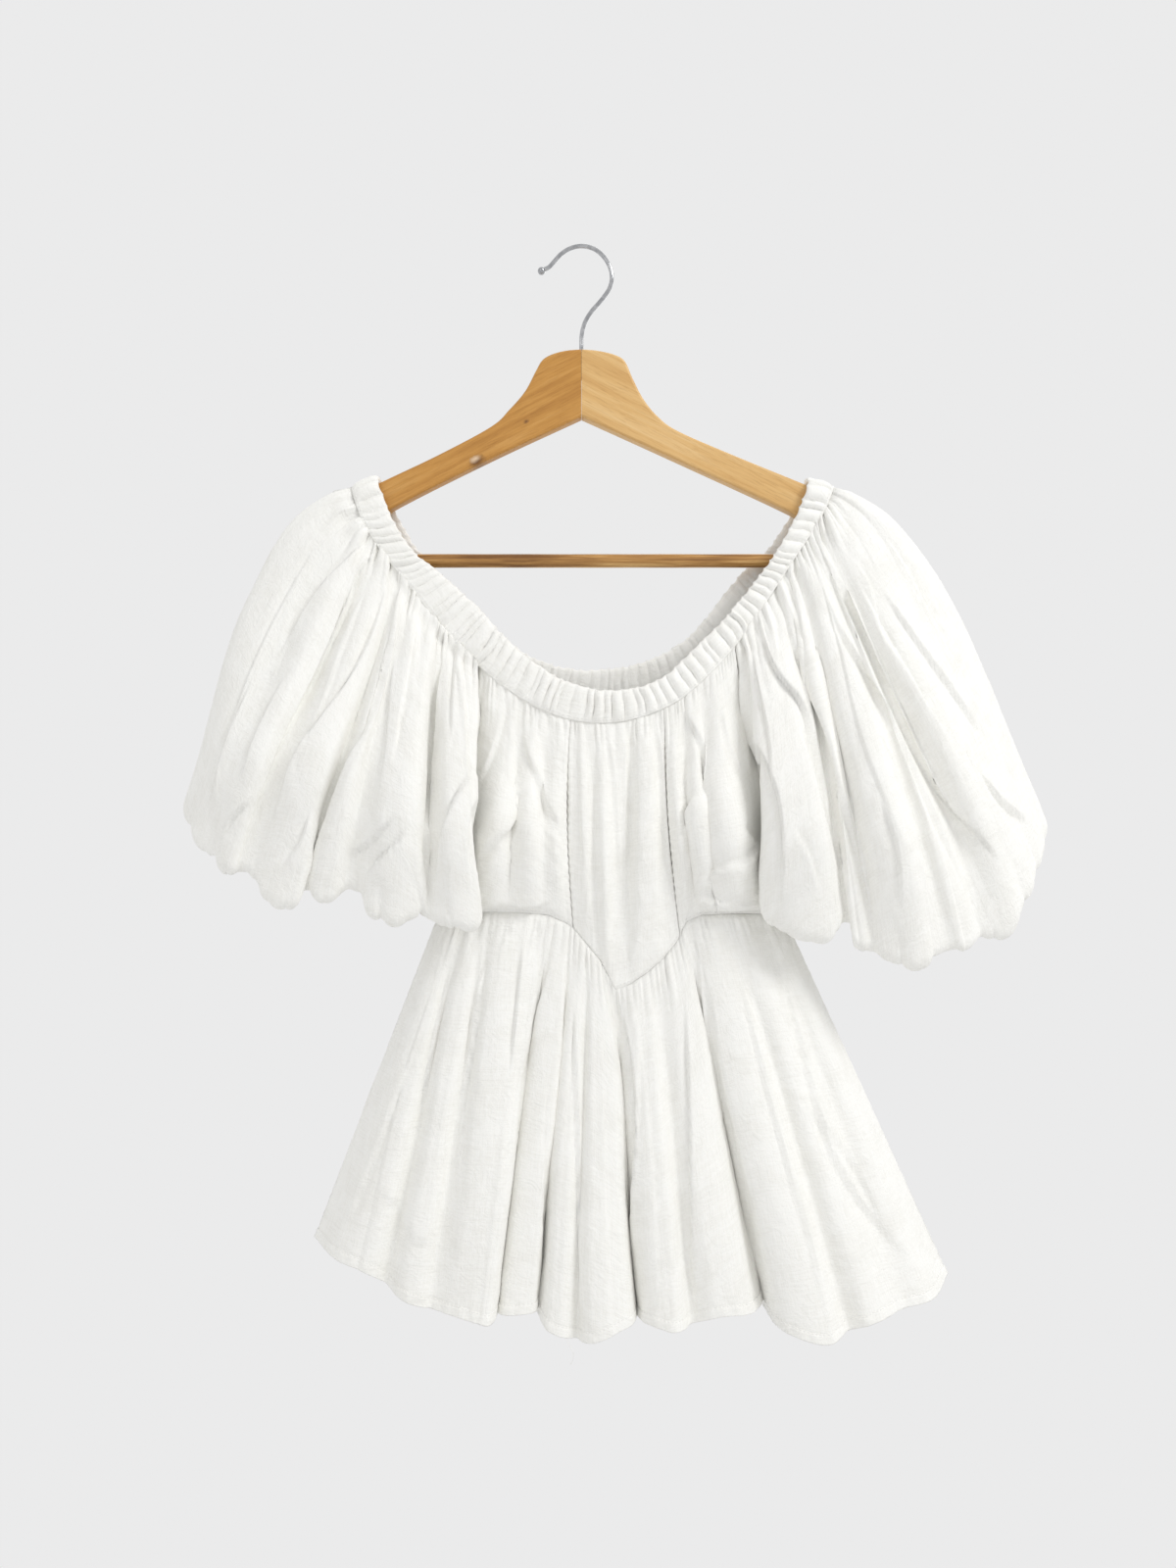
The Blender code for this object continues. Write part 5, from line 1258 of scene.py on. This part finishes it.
# A loose thread at the hem, which starts at the column nearest to LOOSE_X
LOOSE_X = -6.5
LOOSE_TAIL = [(0, 0, 0), (-1.5, -1.2, -3.5), (0.8, -1.8, -8), (2.6, -1.6, -12), (2.2, -1.0, -17),
              (0.4, -0.8, -20)]
hem_line = SEAM_LINES["peplum_front"][0][-1]
start = hem_line[np.argmin(np.abs(hem_line[:, 0] - LOOSE_X))]
loose = rounded(np.array(LOOSE_TAIL) + start + (0, -1, 2), np.linspace(0, len(LOOSE_TAIL) - 1, 36))
sweep("loose_thread", loose, [0.22] * len(loose), thread, (), 6)

stitches("waist_stitching", [row_at(*SEAM_LINES[piece], WAIST_STITCHES) for piece in WAIST_PIECES],
         thread)
casing_grid, casing_normals = SEAM_LINES["neck_casing"]
stitches("casing_stitching", [(casing_grid[2], casing_normals[2])], thread)

left_wood = wood_material("wood_left_varnished", (0.66, 0.36, 0.105), (0.56, 0.275, 0.062),
                          (0.42, 0.185, 0.035), math.radians(27),
                          ((-41, -134.5, 4.2, 1.6, (0.16, 0.07, 0.025), 0.9),
                           (-78.5, -164.5, 11.5, 1.7, (0.13, 0.05, 0.015), 0.95),
                           (-80, -163.0, 7.2, 1.8, (0.74, 0.54, 0.36), 1.0)), 1.35)
right_wood = wood_material("wood_right_varnished", (0.80, 0.55, 0.265), (0.73, 0.46, 0.185),
                           (0.60, 0.335, 0.11), math.radians(-27))
bar_wood = wood_material("bar_wood_varnished", (0.74, 0.46, 0.18), (0.47, 0.24, 0.07),
                         (0.20, 0.085, 0.02), 0.0, contrast=2.0)
hanger_arm("hanger_arm_left_wood", ARM_LEFT_UPPER, ARM_LEFT_LOWER, -1, left_wood)
hanger_arm("hanger_arm_right_wood", ARM_RIGHT_UPPER, ARM_RIGHT_LOWER, 1, right_wood)
hanger_bar(bar_wood)
hanger_hook(chrome_material())

# Stage, light and camera, in metres

FLOOR_Z, FLOOR_RADIUS = -1.9, 1.3
MIDDLE = (0, 0, -0.45)  # what the lights face
LIGHTS = (("key", (1.9, -1.5, 1.5), 1.0, 33), ("fill", (-1.6, -2.4, 0.6), 1.6, 4),
          ("rear", (0.6, 2.2, 0.9), 1.6, 9))  # place, size and power
SKY_FRONT, SKY_BACK = (0.765, 0.765, 0.767, 1.0), (0.83, 0.83, 0.832, 1.0)
CAMERA_PLACE = (0.006, -0.9, -0.410)
LENS, SENSOR = 27, 36

floor_mesh = bpy.data.meshes.new("floor")
bm = bmesh.new()
bmesh.ops.create_circle(bm, cap_ends=True, segments=96, radius=FLOOR_RADIUS)
bm.to_mesh(floor_mesh)
bm.free()
floor_mesh.materials.append(plain_material("pale_floor", (0.80, 0.80, 0.80), 0.8))
put("floor", floor_mesh, (0, 0, FLOOR_Z))

for name, place, size, power in LIGHTS:
    light = bpy.data.lights.new(name, "AREA")
    light.shape, light.size, light.energy = "DISK", size, power
    facing = (Vector(MIDDLE) - Vector(place)).to_track_quat("-Z", "Y")
    put(name, light, place).rotation_euler = facing.to_euler()

world = bpy.data.worlds.new("studio")
bpy.context.scene.world = world
world.use_nodes = True
sky = world.node_tree
toward, split, spread, tone = (sky.nodes.new("ShaderNode" + kind)
                               for kind in ("TexCoord", "SeparateXYZ", "MapRange", "ValToRGB"))
spread.inputs["From Min"].default_value, spread.inputs["From Max"].default_value = -0.9, 0.3
tone.color_ramp.elements[0].color, tone.color_ramp.elements[1].color = SKY_FRONT, SKY_BACK
for source, target in ((toward.outputs["Generated"], split.inputs[0]),
                       (split.outputs["Y"], spread.inputs["Value"]),
                       (spread.outputs[0], tone.inputs["Fac"]),
                       (tone.outputs["Color"], sky.nodes["Background"].inputs["Color"])):
    sky.links.new(source, target)

camera = bpy.data.cameras.new("camera")
camera.lens, camera.sensor_width = LENS, SENSOR
view = put("camera", camera, CAMERA_PLACE)
view.rotation_euler = (math.radians(90), 0, 0)
bpy.context.scene.camera = view
bpy.context.scene.view_settings.view_transform = "Standard"
